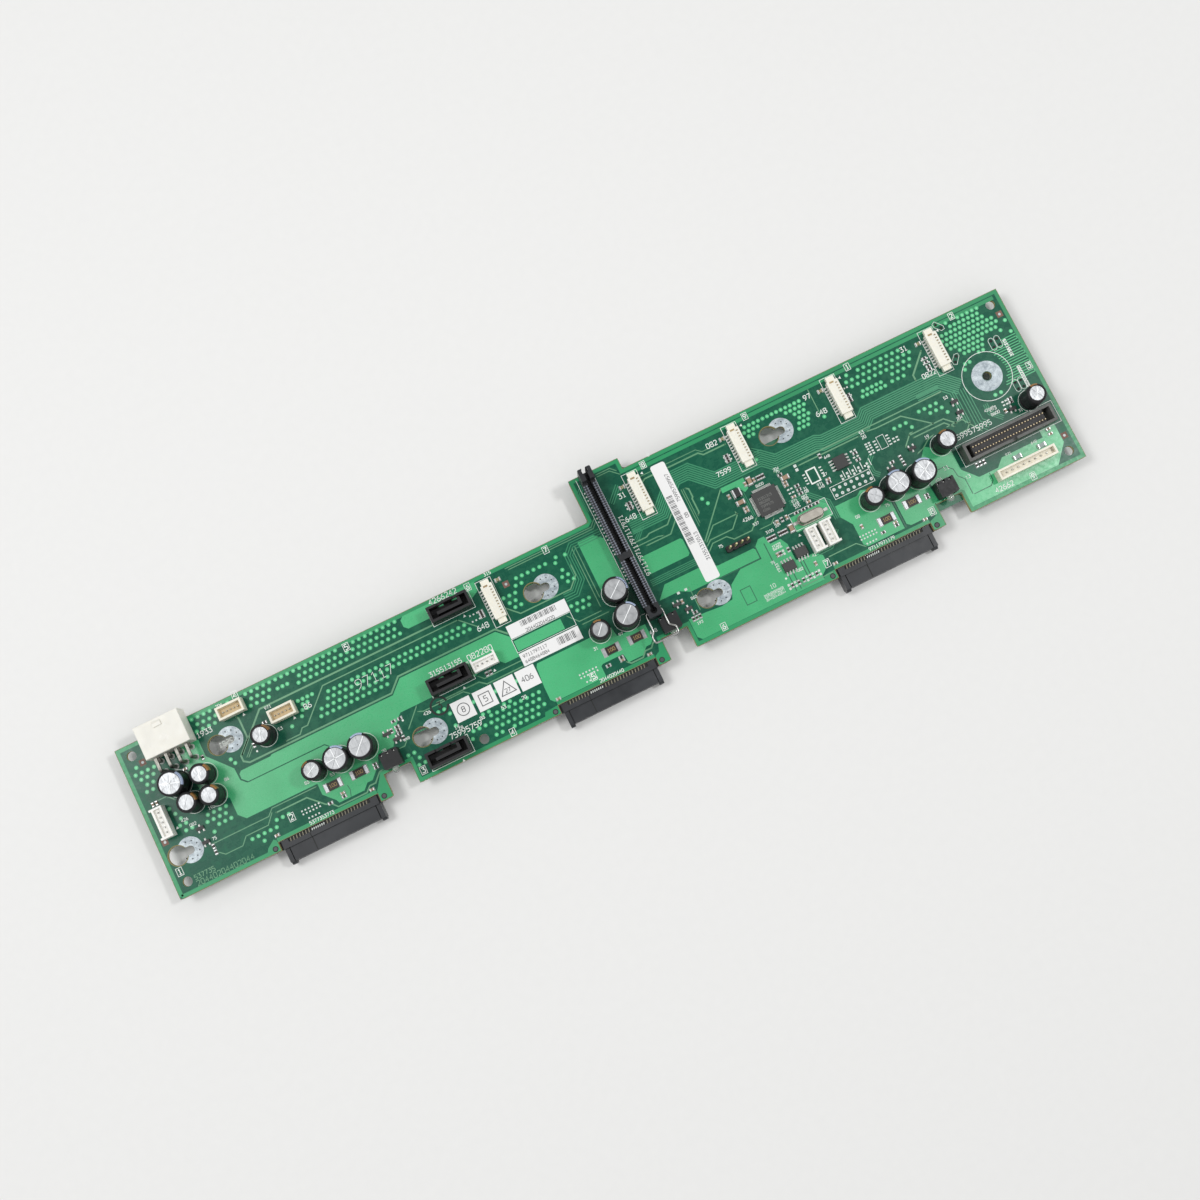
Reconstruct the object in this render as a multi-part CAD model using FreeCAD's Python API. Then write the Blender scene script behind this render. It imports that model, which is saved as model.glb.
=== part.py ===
import FreeCAD, Part
import math
import os

os.makedirs("parts", exist_ok=True)
V = FreeCAD.Vector

# Drive backplane board, lying flat with its parts side up. All sizes in mm.
# Places below are taken from the board's front left corner, on its upper face.
# The finished model is moved so that its origin is the bottom centre of its box.

# Laminate
board_length = 388.8
board_thickness = 1.6
left_depth = 62.45
right_depth = 75.75
bump_depth = 80.4
bump_left = 202.0
bump_right = 223.6
corner_radius = 1.2
tail_length = 1.4
stub_bite_radius = 0.4
stub_bite_pitch = 1.2
stub_bites_each = 3
left_rear_stubs = (41.2, 97.0, 147.9, 194.7)
right_rear_stubs = (275.7, 331.6)
front_stubs = (33.9, 103.6, 152.0, 223.2, 271.6, 343.1)
left_end_stubs = (8.9, 51.3)
right_end_stubs = (14.2, 60.2)
label_thickness = 0.12

# Three drive bays along the front edge
bay_centres = (63.05, 181.3, 300.85)
recess_length = 41.7
recess_depth = 3.4
notch_offset = 31.7
notch_length = 11.1
notch_depth = 8.9
notch_radius = 1.0
peg_offset = 22.8
peg_setback = 1.6
peg_radius = 0.95
peg_clearance = 0.1

# Screw holes and keyholes
screw_hole_radius = 1.9
left_screw_x = 5.27
left_screws_y = (5.24, 57.8)
right_screw_x = 383.7
right_screws_y = (5.0, 70.7)
middle_screw = (129.5, 4.3)
ground_screw = (369.0, 45.7)
ground_screw_radius = 1.75
keyhole_entries = ((5.9, 15.6), (36.7, 47.1), (108.6, 15.4), (171.0, 47.0), (230.3, 15.4), (280.9, 62.0))
keyhole_entry_radius = 3.75
keyhole_slot_radius = 1.6
keyhole_travel = 5.2

# Power header, eight ways in two rows, facing the rear edge
power_x = 21.2
power_front = 52.4
power_depth = 13.3
power_width = 18.2
power_height = 9.6
power_pitch = 4.2
power_columns = 4
power_low_axis = 2.7
power_cell = 3.4
power_cell_depth = 9.5
power_pin = 1.1
power_pin_setback = 2.0
power_low_foot = 51.0
power_high_foot = 46.7
latch_width = 3.4
latch_length = 2.2
latch_height = 0.6

# Fan headers, ten ways, low, facing right
fan_lefts = (152.3, 222.0, 265.4, 309.0, 352.5)
fan_middles = (50.45, 63.5, 63.5, 63.5, 63.5)
fan_foot_room = 1.0
fan_body_width = 4.7
fan_body_length = 14.0
fan_height = 3.4
fan_wall = 0.7
fan_cavity_depth = 3.6
fan_ear_width = 3.4
fan_ear_length = 2.1
fan_ear_height = 2.2
fan_pitch = 1.25
fan_ways = 10
fan_contact = 0.45
fan_window_setback = 0.6
fan_window_depth = 0.9
fan_window_width = 0.5

# Upright data sockets, seven ways
data_centres = ((139.5, 55.4), (127.5, 30.3), (115.4, 5.3))
data_length = 17.0
data_width = 6.4
data_height = 8.4
data_floor = 1.5
data_cavity_length = 15.0
data_cavity_width = 4.4
data_tongue_length = 10.4
data_tongue_thickness = 1.2
data_tongue_gap = 1.2
data_tongue_drop = 1.2
data_contact_drop = 0.6
data_contact_width = 0.6
data_contact_thickness = 0.25
data_ledge_offset = 3.2
data_ledge_length = 2.2
data_ledge_depth = 1.4
data_window_offset = 2.8
data_window_length = 2.2
data_window_height = 5.0
data_key_length = 1.2
data_ways = 7
data_pitch = 1.27

# Drive connectors, hung under the front edge and facing forward
drive_length = 39.9
drive_reach = 5.6
drive_step_setback = 0.1
drive_rear_gap = 0.2
drive_rear_top = -0.5
drive_front_top = -1.4
drive_bottom = -8.4
drive_post_width = 1.9
drive_post_reach = 1.0
drive_post_height = 4.6
drive_post_seam = 0.35
drive_ear_thickness = 1.8
drive_ear_margin = 1.9
drive_slot_length = 34.4
drive_slot_height = 2.2
drive_slot_depth = 5.0
drive_slot_axis = -5.4
drive_slot_key = 0.9
drive_slot_key_offset = -1.85
comb_slot_width = 0.75
comb_setback = 1.3
drive_pitch = 1.27
fine_pitch = 0.82
signal_ways = 7
signal_start = -16.75
fine_start = -7.45
power_ways = 15
power_start = -1.15
drive_contact = 0.4
fine_contact = 0.36
drive_contact_thickness = 0.2
drive_foot_length = 2.2

# Card socket with two rails between end towers
bridge_x = 208.85
bridge_width = 5.4
bridge_front = 16.8
bridge_rear = 80.4
bridge_rail_height = 7.0
bridge_tower_height = 12.0
bridge_front_tower = 4.8
bridge_rear_tower = 4.9
bridge_slot = 1.5
bridge_slot_floor = 1.4
bridge_pocket_radius = 1.35
bridge_key_y = 43.5
bridge_key_length = 2.6
bridge_pitch = 1.0
bridge_window = 0.55
bridge_window_depth = 0.75
bridge_row_margin = 1.2
bridge_contact = 0.4
bridge_contact_thickness = 0.25
bridge_contact_gap = 0.6

# Wire bail that swings up over the card's shoulder
bail_wire = 0.8
bail_pivot_setback = 2.4
bail_pivot_clearance = 0.05
bail_side_gap = 0.25
bail_pin_depth = 1.3
bail_rest_gap = 0.3
bail_leg = 7.0
bail_jog_left = 1.3
bail_jog_right = 2.0
bail_jog_run = 1.6
bail_reach = 11.4
bail_bend = 0.9

# Right-angle indicator lights
light_width = 7.5
light_front = 9.7
light_depth = 6.4
light_height = 6.6
light_axis = 3.3
light_radius = 1.45
light_bore_clearance = 0.05
light_body_depth = 2.6
light_reach = 2.5
light_lead = 0.5
light_lead_pitch = 2.54
light_leads = 3
light_lead_offset = -0.35
light_lead_setback = 0.9
light_slot = 0.8
light_slot_depth = 1.1
light_slot_drop = 1.6

# Panel header, two rows of pins in an open shroud
panel_x = 364.2
panel_y = 21.1
panel_length = 38.6
panel_width = 7.4
panel_height = 6.8
panel_wall = 1.1
panel_floor = 4.4
panel_pitch = 1.27
panel_columns = 25
panel_row_gap = 2.54
panel_pin = 0.4
panel_pin_rise = 1.1
panel_key_length = 3.0
panel_key_depth = 2.4
panel_pocket_length = 2.4
panel_pocket_floor = 0.5

# Pin strip
strip_x = 250.4
strip_y = 28.6
strip_pitch = 2.54
strip_ways = 4
strip_side = 2.5
strip_pin = 0.64
strip_pin_height = 8.5

# Small upright wafer headers: long one, cream five-way ones, white hooked ones
long_wafer_x = 365.4
long_wafer_y = 7.85
long_wafer_length = 24.9
long_wafer_width = 4.1
long_wafer_ways = 10
long_wafer_pitch = 2.5
cream_centres = ((47.4, 57.0), (64.7, 47.3))
cream_length = 10.4
cream_width = 5.2
cream_ways = 5
cream_pitch = 1.5
hooked_length = 10.2
hooked_tall_length = 12.4
hooked_width = 4.2
hooked_ways = 4
hooked_pitch = 2.0
hook_size = 0.8
wafer_height = 5.5
wafer_wall = 0.8
cream_floor = 3.2
hooked_floor = 4.2
wafer_pin = 0.5
wafer_pin_rise = 0.8

# Electrolytic capacitors
large_caps = (
    (17.2, 40.4), (76.7, 21.6), (87.0, 21.8), (199.2, 32.8), (199.0, 22.2), (314.9, 22.2), (326.0, 21.9),
)
small_caps = (
    (28.3, 39.0), (19.7, 31.4), (28.4, 30.2), (55.0, 42.2), (66.7, 21.7), (187.4, 21.6), (304.6, 21.5),
    (339.8, 29.0), (379.2, 29.7),
)
large_cap_radius = 5.0
large_cap_height = 12.5
large_cap_lip = 4.1
large_cap_lead_gap = 5.0
small_cap_radius = 4.0
small_cap_height = 11.5
small_cap_lip = 2.9
small_cap_lead_gap = 3.5
sleeve_thickness = 0.25
sleeve_lift = 0.5
cap_bead_depth = 0.35
cap_bead_height = 2.2
cap_lead_radius = 0.3
score_width = 0.35
score_depth = 0.15

# Controller chip
controller = (268.7, 39.1)
controller_side = 10.0
controller_height = 1.5
controller_ways = 16
controller_pitch = 0.5
controller_lead = 0.24
controller_span = 12.2
chip_standoff = 0.12
chip_lead_thickness = 0.15
chip_foot = 0.7

# Eight-lead chips: narrow ones and one wide one
narrow_chips = ((264.55, 12.45), (271.15, 15.5))
narrow_chip_length = 4.95
narrow_chip_width = 3.7
narrow_chip_span = 6.2
wide_chip = (controller[0] + 32.4, controller[1] + 1.2)
wide_chip_side = 5.2
wide_chip_span = 7.9
chip_height = 1.55
chip_pitch = 1.27
chip_lead = 0.42

# Crystal
crystal_x = 280.9
crystal_y = 26.3
crystal_length = 11.0
crystal_width = 4.6
crystal_height = 3.5
crystal_flange = 0.4
crystal_lead_span = 14.6
crystal_lead_width = 1.0

# Current-sense resistors, two beside each drive connector
shunts = ((70.1, 13.85), (81.05, 13.85), (188.3, 13.7), (199.25, 13.7), (307.0, 12.25), (319.0, 13.95))
shunt_length = 7.0
shunt_width = 3.2
shunt_height = 0.65
shunt_cap = 1.25

# Small flat parts, each at (x, y); "across" lies along X and "along" lies along Y
chip_part_length = 1.6
chip_part_width = 0.8
chip_resistor_height = 0.45
chip_capacitor_height = 0.8
chip_part_cap = 0.3
big_part_length = 3.2
big_part_width = 1.6
big_part_height = 1.2
big_part_cap = 0.45
resistors_across = (
    (87.7, 14.05), (87.7, 12.7), (101.0, 25.7), (103.7, 25.7), (101.3, 23.3), (101.3, 21.9), (101.3, 20.5),
    (66.3, 8.1), (72.1, 8.1), (277.7, 46.3), (281.7, 39.5), (281.7, 37.8), (281.7, 36.1), (293.6, 35.2),
    (276.6, 30.05), (279.6, 30.05), (282.6, 30.05), (285.6, 30.05), (308.0, 41.1), (308.0, 38.2),
    (223.8, 12.4), (184.6, 8.6), (190.4, 9.4), (309.5, 8.4), (319.3, 31.4), (303.5, 8.2),
    (219.6, 62.2), (219.6, 61.1), (219.6, 60.0), (262.2, 62.3), (262.2, 61.2), (262.2, 60.1),
    (316.2, 63.0), (316.2, 61.8), (316.2, 60.6), (350.0, 62.9), (350.0, 61.2), (350.0, 59.4), (350.0, 58.0),
    (149.3, 49.3), (149.3, 48.3), (149.3, 47.2), (325.4, 14.0), (325.4, 12.8), (372.6, 33.7), (372.6, 32.3),
    (56.4, 47.1),
)
resistors_along = (
    (269.35, 48.9), (270.45, 48.9), (271.55, 48.9), (262.1, 25.4), (263.0, 25.4), (263.9, 25.4),
    (264.8, 25.4), (267.1, 25.4), (268.0, 25.4), (268.9, 25.4), (269.8, 25.4), (263.9, 18.4), (267.3, 18.4),
    (262.35, 5.2), (265.15, 5.2), (267.3, 5.2), (270.1, 5.2), (272.9, 5.2), (222.1, 10.3), (223.5, 10.3),
    (224.9, 10.3), (98.8, 22.7), (101.9, 18.3), (270.4, 30.1), (295.1, 46.1), (348.6, 15.7), (350.2, 15.7),
    (351.8, 15.7), (323.2, 31.6), (323.4, 29.0), (29.6, 45.4), (19.5, 12.9), (19.5, 10.5), (49.2, 41.0),
    (141.1, 26.3), (142.7, 26.3),
)
capacitors_across = (
    (259.7, 40.4), (259.7, 39.1), (278.0, 42.75), (278.0, 41.4), (278.6, 36.1), (282.9, 31.8),
    (293.8, 36.4), (72.1, 9.5), (190.4, 8.2), (309.5, 9.6), (21.8, 44.3), (43.0, 6.0), (82.7, 5.8),
    (161.7, 5.6), (200.8, 5.6), (281.2, 5.6), (320.5, 5.6), (380.3, 16.2), (380.3, 14.2),
)
capacitors_along = (
    (263.9, 48.9), (267.6, 48.9), (255.9, 47.2), (268.2, 29.9), (272.4, 30.1), (262.6, 18.4), (274.3, 8.9),
    (221.1, 18.4), (297.0, 13.9), (5.2, 37.3), (6.8, 37.3), (368.9, 30.0),
)
big_capacitors_across = ((258.95, 43.2), (278.9, 44.4))
big_capacitors_along = ((265.8, 49.3), (272.05, 25.4))
flat_fuses = ((364.3, 11.7), (374.9, 11.6))
coil_centre = (259.2, 47.1)
coil_side = 3.2
coil_height = 2.0
coil_cap = 0.5
transistors_up = (
    (99.5, 19.05), (222.1, 14.8), (352.4, 42.2), (352.4, 37.5), (17.8, 21.3), (17.7, 15.6), (371.6, 29.6),
)
transistors_down = ((96.6, 22.4), (218.6, 18.2), (328.9, 32.9), (317.8, 28.9))
transistor_length = 2.9
transistor_width = 1.3
transistor_height = 1.0
transistor_lead = 0.42
transistor_pitch = 1.9
transistor_span = 2.9
signal_lights = ((160.6, 57.6), (220.1, 69.0), (263.8, 69.0), (307.2, 69.2), (350.5, 69.2))
signal_light_length = 2.0
signal_light_width = 1.2
signal_light_height = 0.7

# Paper labels: four squares in a row, two strips, one long narrow one
square_label = 8.1
square_label_xs = (127.15, 136.55, 145.7, 154.65)
square_label_y = 18.1
strip_label_x = 168.0
strip_label_length = 25.2
strip_label_width = 5.35
strip_label_ys = (36.95, 25.2)
long_label_x = 236.1
long_label_y = 46.1
long_label_width = 6.1
long_label_length = 50.6
long_label_radius = 1.0
long_label_turn = -0.4

top = 0.0
under = -board_thickness
tail_end = under - tail_length
origin_shift = V(-board_length / 2, -(bump_depth - drive_reach - drive_post_reach) / 2, -drive_bottom)


def block(x0, x1, y0, y1, z0, z1):
    return Part.makeBox(x1 - x0, y1 - y0, z1 - z0, V(x0, y0, z0))


def slab(x, y, length, width, z0, z1):
    """Upright block centred on (x, y)."""
    return block(x - length / 2, x + length / 2, y - width / 2, y + width / 2, z0, z1)


def rod(x, y, radius, z0, z1):
    return Part.makeCylinder(radius, z1 - z0, V(x, y, z0))


def extrude_outline(points, direction):
    """Closed straight-sided outline, pushed along a direction."""
    wire = Part.makePolygon([V(*p) for p in points + [points[0]]])
    return Part.Face(wire).extrude(V(*direction))


def stadium(x, y, length, width, z0, z1):
    """Upright solid with round ends, long side along X."""
    radius = width / 2
    half = length / 2 - radius
    body = slab(x, y, 2 * half, width, z0, z1)
    for side in (-1, 1):
        body = body.fuse(rod(x + side * half, y, radius, z0, z1))
    return body.removeSplitter()


def upright_edges(shape, tolerance=1e-6):
    picked = []
    for edge in shape.Edges:
        start, end = edge.Vertexes[0].Point, edge.Vertexes[-1].Point
        flat = math.hypot(start.x - end.x, start.y - end.y)
        if flat < tolerance and abs(start.z - end.z) > tolerance:
            picked.append(edge)
    return picked


def cut_all(shape, tools):
    return shape.cut(Part.makeCompound(tools)) if tools else shape


def centred(count, pitch):
    """Offsets of a row of equal steps about its middle."""
    return [(i - (count - 1) / 2) * pitch for i in range(count)]


def save(name, shapes):
    solids = []
    for shape in shapes:
        solids.extend(shape.Solids)
    placed = Part.makeCompound(solids)
    placed.translate(origin_shift)
    placed.exportStep("parts/" + name + ".step")
    print(name, len(solids), "solids, volume", round(placed.Volume, 2))


through_holes = []


def pin_hole(x, y, pin_radius, clearance=0.12):
    """Round hole through the laminate for one soldered tail."""
    margin = 1.0
    through_holes.append(rod(x, y, pin_radius + clearance, under - margin, top + margin))


def square_pin(x, y, side, z0, z1, tip=0.0):
    """Square pin with an optional pointed top."""
    pin = slab(x, y, side, side, z0, z1 - tip)
    if tip > 0:
        point = slab(x, y, side, side, z1 - tip, z1)
        edges = [e for e in point.Edges if all(abs(v.Z - z1) < 1e-6 for v in e.Vertexes)]
        pin = pin.fuse(point.makeChamfer(side * 0.25, edges)).removeSplitter()
    return pin


def bent_pin(x, thickness, y_tip, y_foot, z_axis, z_foot):
    """Square pin that runs back from its tip and turns down into its foot, with a round outer bend."""
    half = thickness / 2
    bend = thickness * 1.2
    outer = y_foot - half
    high = z_axis + half
    turn = bend * (1 - math.sqrt(0.5))
    x0 = x - half
    middle = V(x0, outer + turn, high - turn)
    edges = [
        Part.LineSegment(V(x0, y_tip, high), V(x0, outer + bend, high)),
        Part.Arc(V(x0, outer + bend, high), middle, V(x0, outer, high - bend)),
        Part.LineSegment(V(x0, outer, high - bend), V(x0, outer, z_foot)),
        Part.LineSegment(V(x0, outer, z_foot), V(x0, outer + thickness, z_foot)),
        Part.LineSegment(V(x0, outer + thickness, z_foot), V(x0, outer + thickness, z_axis - half)),
        Part.LineSegment(V(x0, outer + thickness, z_axis - half), V(x0, y_tip, z_axis - half)),
        Part.LineSegment(V(x0, y_tip, z_axis - half), V(x0, y_tip, high)),
    ]
    wire = Part.Wire([edge.toShape() for edge in edges])
    return Part.Face(wire).extrude(V(thickness, 0, 0))


def build_power_header():
    half = power_width / 2
    rear = power_front + power_depth
    body = block(power_x - half, power_x + half, power_front, rear, top, power_height)
    bars = [e for e in body.Edges if all(abs(v.Z - power_height) < 1e-6 for v in e.Vertexes)]
    body = body.makeFillet(0.3, bars)
    rise = [
        (power_x - latch_width / 2, rear - latch_length - 1.0, power_height),
        (power_x - latch_width / 2, rear - 1.0, power_height),
        (power_x - latch_width / 2, rear - 1.0 - latch_length * 0.4, power_height + latch_height),
        (power_x - latch_width / 2, rear - latch_length - 1.0, power_height + latch_height),
    ]
    body = body.fuse(extrude_outline(rise, (latch_width, 0, 0)))
    high_axis = power_low_axis + power_pitch
    cells = []
    pins = []
    for dx in centred(power_columns, power_pitch):
        x = power_x + dx
        for axis, foot in ((power_low_axis, power_low_foot), (high_axis, power_high_foot)):
            side = power_cell / 2
            cells.append(block(x - side, x + side, rear - power_cell_depth, rear + 1, axis - side, axis + side))
            pins.append(bent_pin(x, power_pin, rear - power_pin_setback, foot, axis, tail_end))
            pin_hole(x, foot, power_pin * math.sqrt(0.5))
    body = cut_all(body, cells)
    save("power_header_housing", [cut_all(body, pins)])
    save("power_header_pins", pins)


def build_fan_headers():
    contacts = []
    for number, (left, middle) in enumerate(zip(fan_lefts, fan_middles), 1):
        x0 = left + fan_foot_room
        x1 = x0 + fan_body_width
        y0 = middle - fan_body_length / 2
        y1 = middle + fan_body_length / 2
        body = block(x0, x1, y0, y1, top, fan_height)
        for y in (y0 - fan_ear_length / 2, y1 + fan_ear_length / 2):
            body = body.fuse(slab((x0 + x1) / 2, y, fan_ear_width, fan_ear_length, top, fan_ear_height))
        body = body.removeSplitter()
        mouth = block(x1 - fan_cavity_depth, x1 + 1, y0 + fan_wall, y1 - fan_wall, fan_wall, fan_height - fan_wall)
        windows = []
        own = []
        axis = fan_height / 2
        for dy in centred(fan_ways, fan_pitch):
            y = middle + dy
            window_x = x1 - fan_window_setback - fan_window_depth / 2
            windows.append(slab(window_x, y, fan_window_depth, fan_window_width, fan_height - fan_wall, fan_height + 1))
            half = fan_contact / 2
            own.append(extrude_outline([
                (x0 - fan_foot_room, y - half, top),
                (x0 - fan_foot_room, y - half, top + 0.3),
                (x0 - 0.55, y - half, top + 0.3),
                (x0 - 0.35, y - half, axis + half),
                (x1 - 0.8, y - half, axis + half),
                (x1 - 0.8, y - half, axis - half),
                (x0 - 0.05, y - half, axis - half),
                (x0 - 0.25, y - half, top),
            ], (0, fan_contact, 0)))
        body = body.cut(mouth)
        body = cut_all(body, windows + own)
        save("fan_header_%d" % number, [body])
        contacts.extend(own)
    save("fan_header_contacts", contacts)


def build_data_sockets():
    contacts = []
    for number, (x, y) in enumerate(data_centres, 1):
        body = slab(x, y, data_length, data_width, top, data_height)
        body = body.makeFillet(0.35, upright_edges(body))
        body = body.cut(slab(x, y, data_cavity_length, data_cavity_width, data_floor, data_height + 1))
        tongue_y = y - data_cavity_width / 2 + data_tongue_gap + data_tongue_thickness / 2
        tongue_top = data_height - data_tongue_drop
        low = data_floor - 0.2
        tongue = slab(x, tongue_y, data_tongue_length, data_tongue_thickness, low, tongue_top)
        key_x = x + data_tongue_length / 2 - data_key_length / 2
        key = slab(key_x, tongue_y + data_tongue_thickness, data_key_length, 2 * data_tongue_thickness, low, tongue_top)
        body = body.fuse(tongue).fuse(key).removeSplitter()
        ledges = []
        for side in (-1, 1):
            wall = data_width - data_cavity_width
            ledges.append(slab(x + side * data_window_offset, y + data_width / 2, data_window_length, wall,
                               under, data_window_height))
            ledge_x = x + side * data_ledge_offset
            ledges.append(slab(ledge_x, y + data_width / 2, data_ledge_length, wall,
                               data_height - data_ledge_depth, data_height + 1))
        own = []
        face = tongue_y + data_tongue_thickness / 2
        half = data_contact_width / 2
        for dx in centred(data_ways, data_pitch):
            own.append(block(x + dx - half, x + dx + half, face - data_contact_thickness, face,
                             top, tongue_top - data_contact_drop))
        body = cut_all(body, ledges + own)
        save("data_socket_%d" % number, [body])
        contacts.extend(own)
    save("data_socket_contacts", contacts)


def drive_contact_places():
    """Offset and width of every contact along one drive connector."""
    places = []
    for start, ways, pitch, width in (
        (signal_start, signal_ways, drive_pitch, drive_contact),
        (fine_start, signal_ways, fine_pitch, fine_contact),
        (power_start, power_ways, drive_pitch, drive_contact),
    ):
        places.extend((start + i * pitch, width) for i in range(ways))
    return places


def build_drive_connectors():
    rear = recess_depth - drive_rear_gap
    half = drive_length / 2
    lip = under - drive_contact_thickness
    contacts = []
    for number, x in enumerate(bay_centres, 1):
        front = -drive_reach
        body = block(x - half, x + half, front, rear, drive_bottom, drive_front_top)
        body = body.fuse(block(x - half, x + half, -drive_step_setback, rear, drive_front_top, drive_rear_top))
        post_low = drive_bottom + 1.0
        for side in (-1, 1):
            inner = x + side * (half - drive_post_width)
            outer = x + side * half
            x0, x1 = min(inner, outer), max(inner, outer)
            body = body.fuse(extrude_outline([
                (x0, front, post_low), (x0, front - drive_post_reach, post_low + drive_post_reach),
                (x0, front - drive_post_reach, post_low + drive_post_height - drive_post_reach),
                (x0, front, post_low + drive_post_height),
            ], (x1 - x0, 0, 0)))
            ear_out = x + side * (peg_offset + drive_ear_margin)
            e0, e1 = min(outer, ear_out), max(outer, ear_out)
            body = body.fuse(block(e0, e1, 0.0, rear, under - drive_ear_thickness, under))
            peg_x = x + side * peg_offset
            body = body.fuse(rod(peg_x, peg_setback, peg_radius, under - 0.5, top - 0.2))
        body = body.removeSplitter()
        slot_half = drive_slot_length / 2
        slot_low = drive_slot_axis - drive_slot_height / 2
        slot_high = drive_slot_axis + drive_slot_height / 2
        key_x = x + drive_slot_key_offset
        cuts = [
            block(x - slot_half, key_x - drive_slot_key / 2, front - 1, front + drive_slot_depth, slot_low, slot_high),
            block(key_x + drive_slot_key / 2, x + slot_half, front - 1, front + drive_slot_depth, slot_low, slot_high),
        ]
        for side in (-1, 1):
            seam = x + side * (half - drive_post_width)
            s0 = seam - drive_post_seam / 2
            cuts.append(block(s0, s0 + drive_post_seam, front - 1, -drive_step_setback, drive_front_top - 0.8, top))
        own = []
        comb_front = rear - comb_setback
        for offset, width in drive_contact_places():
            cx = x + offset
            slot = comb_slot_width if width == drive_contact else width
            cuts.append(block(cx - slot / 2, cx + slot / 2, comb_front, rear + 1, lip, top))
            t = drive_contact_thickness
            high = drive_rear_top - 0.2
            own.append(extrude_outline([
                (cx - width / 2, comb_front, lip), (cx - width / 2, comb_front, high),
                (cx - width / 2, comb_front + t, high), (cx - width / 2, comb_front + t, under),
                (cx - width / 2, rear + drive_foot_length, under), (cx - width / 2, rear + drive_foot_length, lip),
            ], (width, 0, 0)))
            own.append(block(cx - width / 2, cx + width / 2, front + 0.4, front + drive_slot_depth,
                             slot_high - t, slot_high))
        save("drive_connector_%d" % number, [cut_all(body, cuts)])
        contacts.extend(own)
    save("drive_connector_contacts", contacts)


def bridge_rows():
    """Contact places along the rails, with a break at the key."""
    first = bridge_front + bridge_front_tower + bridge_row_margin
    last = bridge_rear - bridge_rear_tower - bridge_row_margin
    places = []
    for y0, y1 in ((first, bridge_key_y - bridge_key_length / 2), (bridge_key_y + bridge_key_length / 2, last)):
        count = int((y1 - y0) / bridge_pitch) + 1
        places.extend(y0 + i * bridge_pitch for i in range(count))
    return places


def bail_pivot():
    """Centre of the bail's pivot: across the front tower, above the light housing."""
    height = light_height + bail_rest_gap + bail_wire / 2
    return bridge_front + bail_pivot_setback, height


def build_bridge_socket():
    half = bridge_width / 2
    x0, x1 = bridge_x - half, bridge_x + half
    body = block(x0, x1, bridge_front, bridge_rear, top, bridge_rail_height)
    front_end = bridge_front + bridge_front_tower
    rear_end = bridge_rear - bridge_rear_tower
    body = body.fuse(block(x0, x1, bridge_front, front_end, top, bridge_tower_height))
    body = body.fuse(block(x0, x1, rear_end, bridge_rear, top, bridge_tower_height))
    body = body.removeSplitter()
    body = body.makeFillet(0.5, [e for e in upright_edges(body) if e.Length > bridge_tower_height - 0.1])
    slot = bridge_slot / 2
    high = bridge_tower_height + 1
    key0, key1 = bridge_key_y - bridge_key_length / 2, bridge_key_y + bridge_key_length / 2
    pivot_y, pivot_z = bail_pivot()
    pocket_y = bridge_front + bridge_front_tower / 2
    cuts = [
        block(bridge_x - slot, bridge_x + slot, pocket_y, key0, bridge_slot_floor, high),
        block(bridge_x - slot, bridge_x + slot, key1, bridge_rear + 1, bridge_slot_floor, high),
        rod(bridge_x, pocket_y, bridge_pocket_radius, bridge_rail_height, high),
        stadium(bridge_x, bridge_rear - 1.2, 2 * bridge_pocket_radius + 0.01, 2 * bridge_pocket_radius,
                bridge_rail_height, high),
    ]
    reach = bail_pin_depth + 0.3
    hole = bail_wire / 2 + bail_pivot_clearance
    for x, way in ((x0, 1), (x1, -1)):
        cuts.append(Part.makeCylinder(hole, reach + 1, V(x - way, pivot_y, pivot_z), V(way, 0, 0)))
    contacts = []
    for y in bridge_rows():
        for side in (-1, 1):
            inner = bridge_x + side * slot
            outer = inner + side * bridge_window_depth
            w0, w1 = min(inner, outer), max(inner, outer)
            cuts.append(block(w0 - 0.01, w1 + 0.01, y - bridge_window / 2, y + bridge_window / 2,
                              bridge_slot_floor, bridge_rail_height + 1))
            back = outer - side * bridge_contact_thickness
            c0, c1 = min(outer, back), max(outer, back)
            contacts.append(block(c0, c1, y - bridge_contact / 2, y + bridge_contact / 2,
                                  bridge_slot_floor, bridge_rail_height - bridge_contact_gap))
    save("bridge_socket", [cut_all(body, cuts)])
    save("bridge_socket_contacts", contacts)


def round_path(points, radius):
    """Straight runs joined by tangent arcs of one radius."""
    edges = []
    start = points[0]
    for before, corner, after in zip(points, points[1:], points[2:]):
        a = (before - corner).normalize()
        b = (after - corner).normalize()
        angle = a.getAngle(b)
        trim = radius / math.tan(angle / 2)
        leave = corner + a * trim
        join = corner + b * trim
        middle_way = (a + b).normalize()
        centre = corner + middle_way * (radius / math.sin(angle / 2))
        middle = centre - middle_way * radius
        edges.append(Part.LineSegment(start, leave).toShape())
        edges.append(Part.Arc(leave, middle, join).toShape())
        start = join
    edges.append(Part.LineSegment(start, points[-1]).toShape())
    return Part.Wire(edges)


def build_bail():
    y, z = bail_pivot()
    wire_radius = bail_wire / 2
    left = bridge_x - bridge_width / 2
    right = bridge_x + bridge_width / 2
    left_leg = left - bail_side_gap - wire_radius
    right_leg = right + bail_side_gap + wire_radius
    jog = y - bail_leg
    bar = y - bail_reach
    points = [
        V(left + bail_pin_depth, y, z), V(left_leg, y, z), V(left_leg, jog, z),
        V(left_leg - bail_jog_left, jog - bail_jog_run, z), V(left_leg - bail_jog_left, bar, z),
        V(right_leg + bail_jog_right, bar, z), V(right_leg + bail_jog_right, jog - bail_jog_run, z),
        V(right_leg, jog, z), V(right_leg, y, z), V(right - bail_pin_depth, y, z),
    ]
    path = round_path(points, bail_bend)
    ring = Part.Wire([Part.Circle(points[0], V(1, 0, 0), wire_radius).toShape()])
    save("card_bail", [path.makePipeShell([ring], True, False)])


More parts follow.
